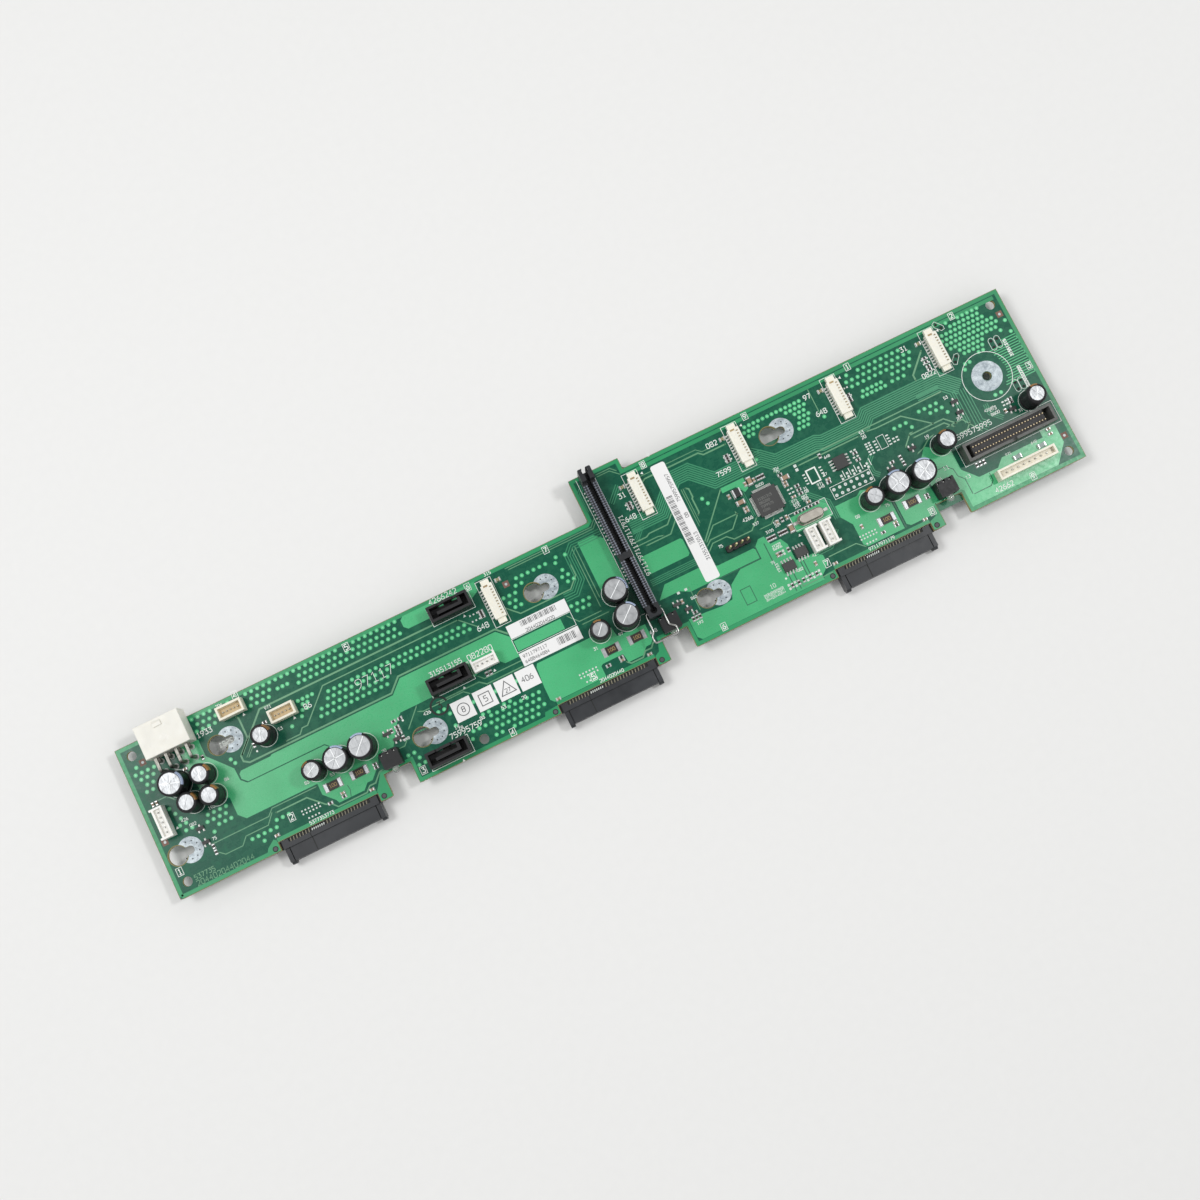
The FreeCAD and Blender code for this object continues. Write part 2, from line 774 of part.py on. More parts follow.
def build_lights():
    lenses = []
    leads = []
    for number, bay in enumerate(bay_centres, 1):
        x = bay + notch_offset
        rear = light_front + light_depth
        body = slab(x, light_front + light_depth / 2, light_width, light_depth, top, light_height)
        body = body.makeFillet(0.3, upright_edges(body))
        bore_end = light_front + light_body_depth
        bore = Part.makeCylinder(light_radius + light_bore_clearance, light_body_depth + 1,
                                 V(x, light_front - 1, light_axis), V(0, 1, 0))
        barrel_length = light_body_depth + light_reach - light_radius
        barrel = Part.makeCylinder(light_radius, barrel_length, V(x, bore_end, light_axis), V(0, -1, 0))
        dome = Part.makeSphere(light_radius, V(x, bore_end - barrel_length, light_axis))
        lenses.append(barrel.fuse(dome).removeSplitter())
        cuts = [bore]
        own = []
        for dx in centred(light_leads, light_lead_pitch):
            lead_x = x + light_lead_offset + dx
            foot = rear - light_lead_setback
            axis = light_axis + light_radius + 0.6
            own.append(bent_lead(lead_x, light_lead, bore_end + 0.2, foot, axis, tail_end))
            pin_hole(lead_x, foot, light_lead * math.sqrt(0.5))
            cuts.append(block(lead_x - light_slot / 2, lead_x + light_slot / 2, rear - light_slot_depth, rear + 1,
                              light_height - light_slot_drop, light_height + 1))
        save("light_housing_%d" % number, [cut_all(body, cuts + own)])
        leads.extend(own)
    save("light_lenses", lenses)
    save("light_leads", leads)


def bent_lead(x, thickness, y_tip, y_foot, z_axis, z_foot):
    """Square lead that runs rearward and turns down into its foot."""
    half = thickness / 2
    return extrude_outline([
        (x - half, y_tip, z_axis + half), (x - half, y_foot + half, z_axis + half),
        (x - half, y_foot + half, z_foot), (x - half, y_foot - half, z_foot),
        (x - half, y_foot - half, z_axis - half), (x - half, y_tip, z_axis - half),
    ], (thickness, 0, 0))


def build_panel_header():
    body = slab(panel_x, panel_y, panel_length, panel_width, top, panel_height)
    body = body.makeFillet(0.3, upright_edges(body))
    inner_length = panel_length - 2 * panel_wall
    inner_width = panel_width - 2 * panel_wall
    cuts = [slab(panel_x, panel_y, inner_length, inner_width, panel_floor, panel_height + 1)]
    wall_y = panel_y - panel_width / 2 + panel_wall / 2
    cuts.append(slab(panel_x, wall_y, panel_key_length, panel_wall + 0.1,
                     panel_height - panel_key_depth, panel_height + 1))
    for side in (-1, 1):
        pocket_x = panel_x + side * (inner_length - panel_pocket_length) / 2
        cuts.append(slab(pocket_x, panel_y, panel_pocket_length, inner_width, panel_pocket_floor, panel_height + 1))
    pins = []
    for dx in centred(panel_columns, panel_pitch):
        for dy in centred(2, panel_row_gap):
            pins.append(square_pin(panel_x + dx, panel_y + dy, panel_pin, top, panel_floor + panel_pin_rise, 0.15))
    save("panel_header_shroud", [cut_all(body, cuts + pins)])
    save("panel_header_pins", pins)


def build_pin_strip():
    length = strip_ways * strip_pitch
    body = slab(strip_x, strip_y, length, strip_side, top, strip_side)
    nicks = []
    for dx in centred(strip_ways + 1, strip_pitch):
        for side in (-1, 1):
            nicks.append(slab(strip_x + dx, strip_y + side * strip_side / 2, 0.7, 0.6, top - 1, strip_side + 1))
    pins = []
    for dx in centred(strip_ways, strip_pitch):
        pins.append(square_pin(strip_x + dx, strip_y, strip_pin, tail_end, strip_pin_height, 0.3))
        pin_hole(strip_x + dx, strip_y, strip_pin * math.sqrt(0.5))
    save("pin_strip_body", [cut_all(body, nicks + pins)])
    save("pin_strip_pins", pins)


def wafer(length, width, ways, pitch, floor, hooks=False):
    """Open-topped upright header about the origin, long side along X, and its pins."""
    body = slab(0, 0, length, width, top, wafer_height)
    if hooks:
        for side in (-1, 1):
            x = side * (length - hook_size) / 2
            body = body.fuse(slab(x, width / 2 + hook_size / 2, hook_size, hook_size, top, wafer_height))
        body = body.removeSplitter()
    cuts = [slab(0, 0, length - 2 * wafer_wall, width - 2 * wafer_wall, floor, wafer_height + 1)]
    tip = floor + wafer_pin_rise
    pins = [square_pin(dx, 0, wafer_pin, tail_end, tip, 0.15) for dx in centred(ways, pitch)]
    return cut_all(body, cuts + pins), pins


def place_wafer(name, x, y, turn, sizes, pins_out):
    body, pins = wafer(*sizes)
    shapes = [body] + pins
    for shape in shapes:
        shape.rotate(V(0, 0, 0), V(0, 0, 1), turn)
        shape.translate(V(x, y, 0))
    save(name, [body])
    for pin in pins:
        centre = pin.BoundBox.Center
        pin_hole(centre.x, centre.y, wafer_pin * math.sqrt(0.5))
    pins_out.extend(pins)


def build_wafers():
    pins = []
    for number, (x, y) in enumerate(cream_centres, 1):
        sizes = (cream_length, cream_width, cream_ways, cream_pitch, cream_floor)
        place_wafer("cream_header_%d" % number, x, y, 0, sizes, pins)
    short = (hooked_length, hooked_width, hooked_ways, hooked_pitch, hooked_floor, True)
    tall = (hooked_tall_length, hooked_width, hooked_ways + 1, hooked_pitch, hooked_floor, True)
    for number, (x, y, turn, sizes) in enumerate((
        (6.9, 29.2, 90, tall), (142.4, 30.3, 0, short), (277.8, 17.4, -90, short), (283.8, 17.4, -90, short),
    ), 1):
        place_wafer("white_header_%d" % number, x, y, turn, sizes, pins)
    sizes = (long_wafer_length, long_wafer_width, long_wafer_ways, long_wafer_pitch, cream_floor)
    place_wafer("long_header", long_wafer_x, long_wafer_y, 0, sizes, pins)
    save("small_header_pins", pins)


def turned_profile(points):
    """Closed half-section in the XZ plane, spun about the vertical axis."""
    wire = Part.Wire([edge.toShape() for edge in points])
    return Part.Face(wire).revolve(V(0, 0, 0), V(0, 0, 1), 360)


def can_outline(radius, height, lift, shoulder):
    """Solid of a can's outer form with a rounded top edge and a rolled bead near its foot."""
    turn = shoulder * (1 - math.sqrt(0.5))
    waist = radius - cap_bead_depth
    low, high = cap_bead_height - 0.8, cap_bead_height + 0.8
    edges = [
        Part.LineSegment(V(0, 0, lift), V(radius, 0, lift)),
        Part.LineSegment(V(radius, 0, lift), V(radius, 0, low)),
        Part.Arc(V(radius, 0, low), V(waist, 0, cap_bead_height), V(radius, 0, high)),
        Part.LineSegment(V(radius, 0, high), V(radius, 0, height - shoulder)),
        Part.Arc(V(radius, 0, height - shoulder), V(radius - turn, 0, height - turn),
                 V(radius - shoulder, 0, height)),
        Part.LineSegment(V(radius - shoulder, 0, height), V(0, 0, height)),
        Part.LineSegment(V(0, 0, height), V(0, 0, lift)),
    ]
    return turned_profile(edges)


def capacitor(radius, height, lip, lead_gap):
    """Can, sleeve and leads of one capacitor standing on the board at the origin."""
    shoulder = 0.9
    can = can_outline(radius - sleeve_thickness, height - sleeve_thickness, top, shoulder)
    can_whole = can.copy()
    sleeve = can_outline(radius, height, sleeve_lift, shoulder + sleeve_thickness)
    sleeve = sleeve.cut(can_whole).cut(rod(0, 0, lip, height - 1, height + 1))
    face = height - sleeve_thickness
    arm = lip * 1.8
    scores = [slab(0, 0, arm, score_width, face - score_depth, face + 1),
              slab(0, 0, score_width, arm, face - score_depth, face + 1)]
    can = cut_all(can, scores)
    leads = [rod(side * lead_gap / 2, 0, cap_lead_radius, tail_end, top) for side in (-1, 1)]
    return can, sleeve, leads


def build_capacitors():
    all_leads = []
    for word, places, radius, height, lip, gap in (
        ("large", large_caps, large_cap_radius, large_cap_height, large_cap_lip, large_cap_lead_gap),
        ("small", small_caps, small_cap_radius, small_cap_height, small_cap_lip, small_cap_lead_gap),
    ):
        cans = []
        sleeves = []
        for number, (x, y) in enumerate(places):
            can, sleeve, leads = capacitor(radius, height, lip, gap)
            turn = 20 + 35 * number
            for shape in [can, sleeve] + leads:
                shape.rotate(V(0, 0, 0), V(0, 0, 1), turn)
                shape.translate(V(x, y, 0))
            for lead in leads:
                centre = lead.BoundBox.Center
                pin_hole(centre.x, centre.y, cap_lead_radius)
            cans.append(can)
            sleeves.append(sleeve)
            all_leads.extend(leads)
        save(word + "_capacitor_cans", cans)
        save(word + "_capacitor_sleeves", sleeves)
    save("capacitor_leads", all_leads)


def gull_leads(x, y, offsets, body_half, span, width, shoulder_z, turn):
    """Gull-wing leads on one side of a chip; the side faces +X before the turn."""
    t = chip_lead_thickness
    leads = []
    tip = span / 2
    for offset in offsets:
        lead = extrude_outline([
            (body_half, offset - width / 2, shoulder_z), (body_half, offset - width / 2, shoulder_z + t),
            (body_half + 0.25, offset - width / 2, shoulder_z + t), (tip - chip_foot + 0.15, offset - width / 2, t),
            (tip, offset - width / 2, t), (tip, offset - width / 2, top),
            (tip - chip_foot, offset - width / 2, top), (body_half + 0.15, offset - width / 2, shoulder_z),
        ], (0, width, 0))
        lead.rotate(V(0, 0, 0), V(0, 0, 1), turn)
        lead.translate(V(x, y, 0))
        leads.append(lead)
    return leads


def chip_body(x, y, length, width, height):
    """Moulded body with a slightly sloped upper half and a round index dimple."""
    z_mid = (chip_standoff + height) / 2
    lower = slab(x, y, length, width, chip_standoff, z_mid)
    upper = slab(x, y, length, width, z_mid, height)
    edges = [e for e in upper.Edges if all(abs(v.Z - height) < 1e-6 for v in e.Vertexes)]
    body = lower.fuse(upper.makeChamfer(0.12, edges)).removeSplitter()
    return body.cut(rod(x - length / 2 + 0.9, y - width / 2 + 0.9, 0.35, height - 0.06, height + 1))


def build_chips():
    x, y = controller
    save("controller_chip", [chip_body(x, y, controller_side, controller_side, controller_height)])
    leads = []
    middle = controller_height / 2
    for turn in (0, 90, 180, 270):
        leads.extend(gull_leads(x, y, centred(controller_ways, controller_pitch), controller_side / 2,
                                controller_span, controller_lead, middle, turn))
    save("controller_leads", leads)
    bodies = []
    leads = []
    middle = chip_height / 2
    offsets = centred(4, chip_pitch)
    for x, y in narrow_chips:
        bodies.append(chip_body(x, y, narrow_chip_length, narrow_chip_width, chip_height))
        for turn in (90, 270):
            leads.extend(gull_leads(x, y, offsets, narrow_chip_width / 2, narrow_chip_span, chip_lead, middle, turn))
    x, y = wide_chip
    bodies.append(chip_body(x, y, wide_chip_side, wide_chip_side, chip_height))
    for turn in (0, 180):
        leads.extend(gull_leads(x, y, offsets, wide_chip_side / 2, wide_chip_span, chip_lead, middle, turn))
    save("eight_lead_chips", bodies)
    save("eight_lead_chip_leads", leads)


def build_crystal():
    base = stadium(crystal_x, crystal_y, crystal_length, crystal_width, top, crystal_flange)
    shell_inset = 0.4
    shell = stadium(crystal_x, crystal_y, crystal_length - 2 * shell_inset, crystal_width - 2 * shell_inset,
                    crystal_flange, crystal_height)
    rim = [e for e in shell.Edges if all(abs(v.Z - crystal_height) < 1e-6 for v in e.Vertexes)]
    shell = shell.makeFillet(0.45, rim)
    leads = []
    for side in (-1, 1):
        inner = crystal_x + side * crystal_length / 2
        outer = crystal_x + side * crystal_lead_span / 2
        leads.append(block(min(inner, outer), max(inner, outer), crystal_y - crystal_lead_width / 2,
                           crystal_y + crystal_lead_width / 2, top, 0.25))
    save("crystal_can", [base.fuse(shell).removeSplitter()])
    save("crystal_leads", leads)


def flat_part(x, y, along, length, width, height, cap):
    """Middle and two end caps of one flat two-ended part."""
    pieces = [
        slab(0, 0, length - 2 * cap, width, 0.04, height - 0.04),
        slab(-(length - cap) / 2, 0, cap, width, top, height),
        slab((length - cap) / 2, 0, cap, width, top, height),
    ]
    for piece in pieces:
        if along:
            piece.rotate(V(0, 0, 0), V(0, 0, 1), 90)
        piece.translate(V(x, y, 0))
    return pieces[0], pieces[1:]


def build_flat_parts():
    caps = []

    def family(sets):
        bodies = []
        for places, along, size in sets:
            for x, y in places:
                middle, ends = flat_part(x, y, along, *size)
                bodies.append(middle)
                caps.extend(ends)
        return bodies

    resistor = (chip_part_length, chip_part_width, chip_resistor_height, chip_part_cap)
    capacitor_size = (chip_part_length, chip_part_width, chip_capacitor_height, chip_part_cap)
    big = (big_part_length, big_part_width, big_part_height, big_part_cap)
    coil = (coil_side, coil_side, coil_height, coil_cap)
    save("chip_resistors", family([
        (resistors_across, False, resistor), (resistors_along, True, resistor),
    ]))
    save("flat_fuses", family([(flat_fuses, False, big)]))
    save("chip_capacitors", family([
        (capacitors_across, False, capacitor_size), (capacitors_along, True, capacitor_size),
        (big_capacitors_across, False, big), (big_capacitors_along, True, big),
    ]))
    save("square_coil", family([((coil_centre,), False, coil)]))
    light = (signal_light_length, signal_light_width, signal_light_height, chip_part_cap)
    save("signal_lights", family([(signal_lights, False, light)]))
    save("chip_end_caps", caps)
    shunt_caps = []
    bodies = []
    for x, y in shunts:
        middle, ends = flat_part(x, y, False, shunt_length, shunt_width, shunt_height, shunt_cap)
        bodies.append(middle)
        shunt_caps.extend(ends)
    save("shunt_resistors", bodies)
    save("shunt_end_caps", shunt_caps)


def build_transistors():
    bodies = []
    leads = []
    for places, flip in ((transistors_up, 1), (transistors_down, -1)):
        for x, y in places:
            bodies.append(slab(x, y, transistor_length, transistor_width, chip_standoff, transistor_height))
            for dx, way in ((0.0, 1), (-transistor_pitch / 2, -1), (transistor_pitch / 2, -1)):
                side = way * flip
                near = y + side * transistor_width / 2
                far = y + side * transistor_span / 2
                half = transistor_lead / 2
                y0, y1 = min(near, far), max(near, far)
                leads.append(block(x + dx - half, x + dx + half, y0, y1, top, 0.45))
    save("transistors", bodies)
    save("transistor_leads", leads)


def build_labels():
    labels = []
    for x in square_label_xs:
        labels.append(slab(x, square_label_y, square_label, square_label, top, label_thickness))
    for y in strip_label_ys:
        labels.append(slab(strip_label_x, y, strip_label_length, strip_label_width, top, label_thickness))
    long_label = slab(0, 0, long_label_width, long_label_length, top, label_thickness)
    long_label = long_label.makeFillet(long_label_radius, upright_edges(long_label))
    long_label.rotate(V(0, 0, 0), V(0, 0, 1), long_label_turn)
    long_label.translate(V(long_label_x, long_label_y, 0))
    labels.append(long_label)
    save("paper_labels", labels)


def board_outline():
    """Corner points of the laminate, anticlockwise from the front left corner, each with its radius."""
    points = [(0.0, 0.0, corner_radius)]
    for bay in bay_centres:
        r0, r1 = bay - recess_length / 2, bay + recess_length / 2
        n0 = bay + notch_offset - notch_length / 2
        n1 = bay + notch_offset + notch_length / 2
        points += [
            (r0, 0.0, 0.0), (r0, recess_depth, 0.0), (r1, recess_depth, 0.0), (r1, 0.0, 0.0),
            (n0, 0.0, notch_radius), (n0, notch_depth, notch_radius),
            (n1, notch_depth, notch_radius), (n1, 0.0, notch_radius),
        ]
    points += [
        (board_length, 0.0, corner_radius), (board_length, right_depth, corner_radius),
        (bump_right, right_depth, corner_radius), (bump_right, bump_depth, corner_radius),
        (bump_left, bump_depth, corner_radius), (bump_left, left_depth, corner_radius),
        (0.0, left_depth, corner_radius),
    ]
    return points


def outline_wire(points):
    """Right-angled outline with quarter-round corners."""
    edges = []
    count = len(points)
    trimmed = []
    for i, (x, y, radius) in enumerate(points):
        bx, by, _ = points[i - 1]
        ax, ay, _ = points[(i + 1) % count]
        corner = V(x, y, under)
        back = (V(bx, by, under) - corner).normalize()
        ahead = (V(ax, ay, under) - corner).normalize()
        trimmed.append((corner + back * radius, corner + ahead * radius, corner, back, ahead, radius))
    for i, (enter, leave, corner, back, ahead, radius) in enumerate(trimmed):
        if radius > 0:
            centre = corner + back * radius + ahead * radius
            middle = centre - (back + ahead).normalize() * radius
            edges.append(Part.Arc(enter, middle, leave).toShape())
        edges.append(Part.LineSegment(leave, trimmed[(i + 1) % count][0]).toShape())
    return Part.Wire(edges)


def stub_bites():
    """Small half-round bites left where the board was snapped from its panel."""
    steps = centred(stub_bites_each, stub_bite_pitch)
    places = []
    for stubs, y in ((left_rear_stubs, left_depth), (right_rear_stubs, right_depth), (front_stubs, 0.0)):
        places.extend((x + step, y) for x in stubs for step in steps)
    for stubs, x in ((left_end_stubs, 0.0), (right_end_stubs, board_length)):
        places.extend((x, y + step) for y in stubs for step in steps)
    return [rod(x, y, stub_bite_radius, under - 1, top + 1) for x, y in places]


def keyhole(x, y):
    """Round entry with a narrower slot that runs to the right."""
    entry = rod(x, y, keyhole_entry_radius, under - 1, top + 1)
    run = block(x, x + keyhole_travel, y - keyhole_slot_radius, y + keyhole_slot_radius, under - 1, top + 1)
    end = rod(x + keyhole_travel, y, keyhole_slot_radius, under - 1, top + 1)
    return entry.fuse(run).fuse(end)


def build_board():
    blank = Part.Face(outline_wire(board_outline())).extrude(V(0, 0, board_thickness))
    cuts = stub_bites() + list(through_holes)
    for y in left_screws_y:
        cuts.append(rod(left_screw_x, y, screw_hole_radius, under - 1, top + 1))
    for y in right_screws_y:
        cuts.append(rod(right_screw_x, y, screw_hole_radius, under - 1, top + 1))
    cuts.append(rod(middle_screw[0], middle_screw[1], screw_hole_radius, under - 1, top + 1))
    cuts.append(rod(ground_screw[0], ground_screw[1], ground_screw_radius, under - 1, top + 1))
    for bay in bay_centres:
        for side in (-1, 1):
            cuts.append(rod(bay + side * peg_offset, peg_setback, peg_radius + peg_clearance, under - 1, top + 1))
    for x, y in keyhole_entries:
        cuts.append(keyhole(x, y))
    save("circuit_board", [cut_all(blank, cuts)])


build_power_header()
build_fan_headers()
build_data_sockets()
build_drive_connectors()
build_bridge_socket()
build_bail()
build_lights()
build_panel_header()
build_pin_strip()
build_wafers()
build_capacitors()
build_chips()
build_crystal()
build_flat_parts()
build_transistors()
build_labels()
build_board()
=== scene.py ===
import math
import bpy
import numpy as np
from mathutils import Matrix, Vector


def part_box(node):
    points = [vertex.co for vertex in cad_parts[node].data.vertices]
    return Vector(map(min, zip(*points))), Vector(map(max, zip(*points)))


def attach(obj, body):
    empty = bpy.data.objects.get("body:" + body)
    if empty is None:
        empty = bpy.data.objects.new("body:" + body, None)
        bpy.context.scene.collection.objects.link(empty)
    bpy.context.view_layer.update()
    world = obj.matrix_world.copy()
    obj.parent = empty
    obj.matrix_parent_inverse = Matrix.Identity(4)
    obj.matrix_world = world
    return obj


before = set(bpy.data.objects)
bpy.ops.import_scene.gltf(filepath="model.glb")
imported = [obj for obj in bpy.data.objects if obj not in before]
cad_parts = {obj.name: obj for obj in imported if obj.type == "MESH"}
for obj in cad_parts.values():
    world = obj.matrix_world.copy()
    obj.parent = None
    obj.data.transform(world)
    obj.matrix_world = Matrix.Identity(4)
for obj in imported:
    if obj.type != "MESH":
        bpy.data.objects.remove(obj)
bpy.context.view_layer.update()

boardLow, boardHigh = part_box("circuit_board")
cornerX, cornerY, topZ, underZ = boardLow[0], boardLow[1], boardHigh[2], boardLow[2]
boardCorner = (cornerX, cornerY, topZ)
mm = 0.001
print("frame loaded,", len(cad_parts), "nodes")


# shader sums

class Wire:
    # a socket that can be added, multiplied and compared like a number
    def __init__(self, finish, socket):
        self.finish, self.socket = finish, socket

    def sum(self, operation, *others):
        made = self.finish.node("Math", {"operation": operation}, dict(enumerate(others)))
        return Wire(self.finish, made.outputs[0])

    def __add__(self, other):
        return self.sum("ADD", self, other)

    def __sub__(self, other):
        return self.sum("SUBTRACT", self, other)

    def __rsub__(self, other):
        return self.sum("SUBTRACT", other, self)

    def __mul__(self, other):
        return self.sum("MULTIPLY", self, other)

    def __mod__(self, other):
        return self.sum("FLOORED_MODULO", self, other)

    def __gt__(self, other):
        return self.sum("GREATER_THAN", self, other)

    def __lt__(self, other):
        return self.sum("LESS_THAN", self, other)

    def __abs__(self):
        return self.sum("ABSOLUTE", self)

    __radd__ = __add__
    __rmul__ = __mul__


class Finish:
    # one material, mixed from nodes
    def __init__(self, name):
        self.material = bpy.data.materials.new(name)
        self.material.use_nodes = True
        self.tree = self.material.node_tree
        self.tree.nodes.clear()
        self.place = None

    def node(self, kind, settings=None, sockets=None):
        made = self.tree.nodes.new("ShaderNode" + kind)
        for key, value in (settings or {}).items():
            setattr(made, key, value)
        for key, value in (sockets or {}).items():
            if isinstance(value, Wire):
                self.tree.links.new(value.socket, made.inputs[key])
            else:
                made.inputs[key].default_value = value
        return made

    def wire(self, made, output=0):
        return Wire(self, made.outputs[output])

    def spot(self):
        # place on the piece, in metres in the part's own frame
        if self.place is None:
            self.place = self.wire(self.node("TexCoord"), "Object")
        return self.place

    def axes(self):
        split = self.node("SeparateXYZ", None, {0: self.spot()})
        return [self.wire(split, i) for i in range(3)]

    def noise(self, scale, detail=3.0, rough=0.55, stretch=None):
        vector = self.spot()
        if stretch:
            vector = self.wire(self.node("VectorMath", {"operation": "MULTIPLY"}, {0: vector, 1: stretch}))
        sockets = {"Vector": vector, "Scale": scale, "Detail": detail, "Roughness": rough}
        return self.wire(self.node("TexNoise", None, sockets))

    def spread(self, value, outLow, outHigh, low=0.3, high=0.7):
        # a noise's usual range, or the range from low to high, spread over outLow to outHigh
        return self.wire(self.node("MapRange", None, {0: value, 1: low, 2: high, 3: outLow, 4: outHigh}))

    def blend(self, mask, first, second):
        colours = {0: mask, 6: asColour(first), 7: asColour(second)}
        return self.wire(self.node("Mix", {"data_type": "RGBA"}, colours), 2)

    def bump(self, height, strength, distance):
        sockets = {"Strength": strength, "Distance": distance, "Height": height}
        return self.wire(self.node("Bump", None, sockets))

    def skin(self, **values):
        sockets = {key.replace("_", " "): asColour(value) if key == "Base_Color" else value
                   for key, value in values.items()}
        surface = self.node("BsdfPrincipled", None, sockets)
        self.node("OutputMaterial", None, {"Surface": self.wire(surface)})
        return self.material


def asColour(value):
    return value if isinstance(value, Wire) else (*value, 1.0)


def darker(colour, share):
    return [part * share for part in colour]


def fromScreen(red, green, blue):
    # colour as a screen shows it, 0 to 255, turned into linear light
    linear = []
    for part in (red, green, blue):
        part /= 255.0
        linear.append(part / 12.92 if part <= 0.04045 else ((part + 0.055) / 1.055) ** 2.4)
    return tuple(linear)


# stage

stageLook = {
    "floorColour": (0.80, 0.80, 0.79), "floorSize": 4.0, "floorGrain": 260.0, "floorShade": 0.97,
    "keyPower": 6.4, "keySize": 0.42, "keyPlace": (-0.62, 0.33, 1.2),
    "fillPower": 3.9, "fillSize": 0.13, "fillPlace": (0.63, -0.05, 1.16),
    "worldLevel": 0.62,
    "cameraPlace": (-0.0313, -0.07073, 0.5884), "cameraLens": 45.27, "cameraSensor": 36.0, "cameraNear": 0.01,
    "cameraRight": (0.898007, -0.439957, -0.004628),
    "cameraUp": (0.437031, 0.890719, 0.124996),
    "cameraBack": (-0.050870, -0.114270, 0.992146),
}


def buildCamera(look):
    data = bpy.data.cameras.new("camera")
    data.lens = look["cameraLens"]
    data.sensor_width = look["cameraSensor"]
    data.clip_start = look["cameraNear"]
    camera = bpy.data.objects.new("camera", data)
    bpy.context.collection.objects.link(camera)
    turn = Matrix((look["cameraRight"], look["cameraUp"], look["cameraBack"])).transposed().to_4x4()
    camera.matrix_world = Matrix.Translation(look["cameraPlace"]) @ turn
    bpy.context.scene.camera = camera


def buildLamp(name, power, size, place):
    data = bpy.data.lights.new(name, "AREA")
    data.energy = power
    data.size = size
    lamp = bpy.data.objects.new(name, data)
    bpy.context.collection.objects.link(lamp)
    lamp.location = place
    lamp.rotation_euler = (-lamp.location).to_track_quat("-Z", "Y").to_euler()


def buildStage(look):
    half = look["floorSize"] / 2
    floorMesh = bpy.data.meshes.new("floor")
    corners = [(-half, -half, 0), (half, -half, 0), (half, half, 0), (-half, half, 0)]
    floorMesh.from_pydata(corners, [], [range(len(corners))])
    floor = bpy.data.objects.new("floor", floorMesh)
    bpy.context.collection.objects.link(floor)
    paint = Finish("floorPaper")
    grain = paint.noise(look["floorGrain"], 2.0)
    colour = paint.blend(grain, darker(look["floorColour"], look["floorShade"]), look["floorColour"])
    floorMesh.materials.append(paint.skin(Base_Color=colour, Roughness=0.9))
    buildLamp("keyLamp", look["keyPower"], look["keySize"], look["keyPlace"])
    buildLamp("fillLamp", look["fillPower"], look["fillSize"], look["fillPlace"])
    world = bpy.data.worlds.new("studio")
    world.use_nodes = True
    background = world.node_tree.nodes["Background"]
    background.inputs["Color"].default_value = (1.0, 1.0, 1.0, 1.0)
    background.inputs["Strength"].default_value = look["worldLevel"]
    bpy.context.scene.world = world
    bpy.context.scene.view_settings.view_transform = "Standard"


buildCamera(stageLook)
buildStage(stageLook)
print("camera and stage ready")

# finishes of the solid parts

boardGreen = {
    "dark": fromScreen(12, 92, 68), "darker": fromScreen(8, 76, 58), "pour": fromScreen(60, 150, 104),
    "edge": (0.42, 0.37, 0.17), "edgeShade": 0.7, "edgeRough": 0.4, "flatLimit": 0.5,
    "layers": 9000.0, "waviness": 300.0, "wave": 2.0, "patch": 26.0, "speck": 420.0,
    "speckRange": (0.45, 0.75), "pourShare": 0.14, "roughness": (0.22, 0.34), "gloss": 0.22,
    "weave": 1100.0, "weaveBump": 0.12, "weaveDepth": 0.00005,
}


def makeBoardFinish(look):
    # green mask where the face looks up or down; along the edge the layers, which are the height times a rate
    # less its whole part
    f = Finish("maskedLaminate")
    speck = f.noise(look["speck"], 2.0)
    mask = f.blend(f.noise(look["patch"], 3.0), look["dark"], look["darker"])
    mask = f.blend(f.spread(speck, 0.0, look["pourShare"], *look["speckRange"]), mask, look["pour"])
    normal = f.wire(f.node("NewGeometry"), "Normal")
    flat = abs(f.wire(f.node("SeparateXYZ", None, {0: normal}), 2)) > look["flatLimit"]
    layers = (f.axes()[2] * look["layers"] + f.noise(look["waviness"]) * look["wave"]) % 1.0
    side = f.blend(layers, look["edge"], darker(look["edge"], look["edgeShade"]))
    rough = f.spread(speck, *look["roughness"])
    rough = rough + (1 - flat) * look["edgeRough"]
    weave = f.bump(f.noise(look["weave"], 2.0), look["weaveBump"], look["weaveDepth"])
    return f.skin(Base_Color=f.blend(flat, side, mask), Roughness=rough, Normal=weave,
                  Specular_IOR_Level=look["gloss"])


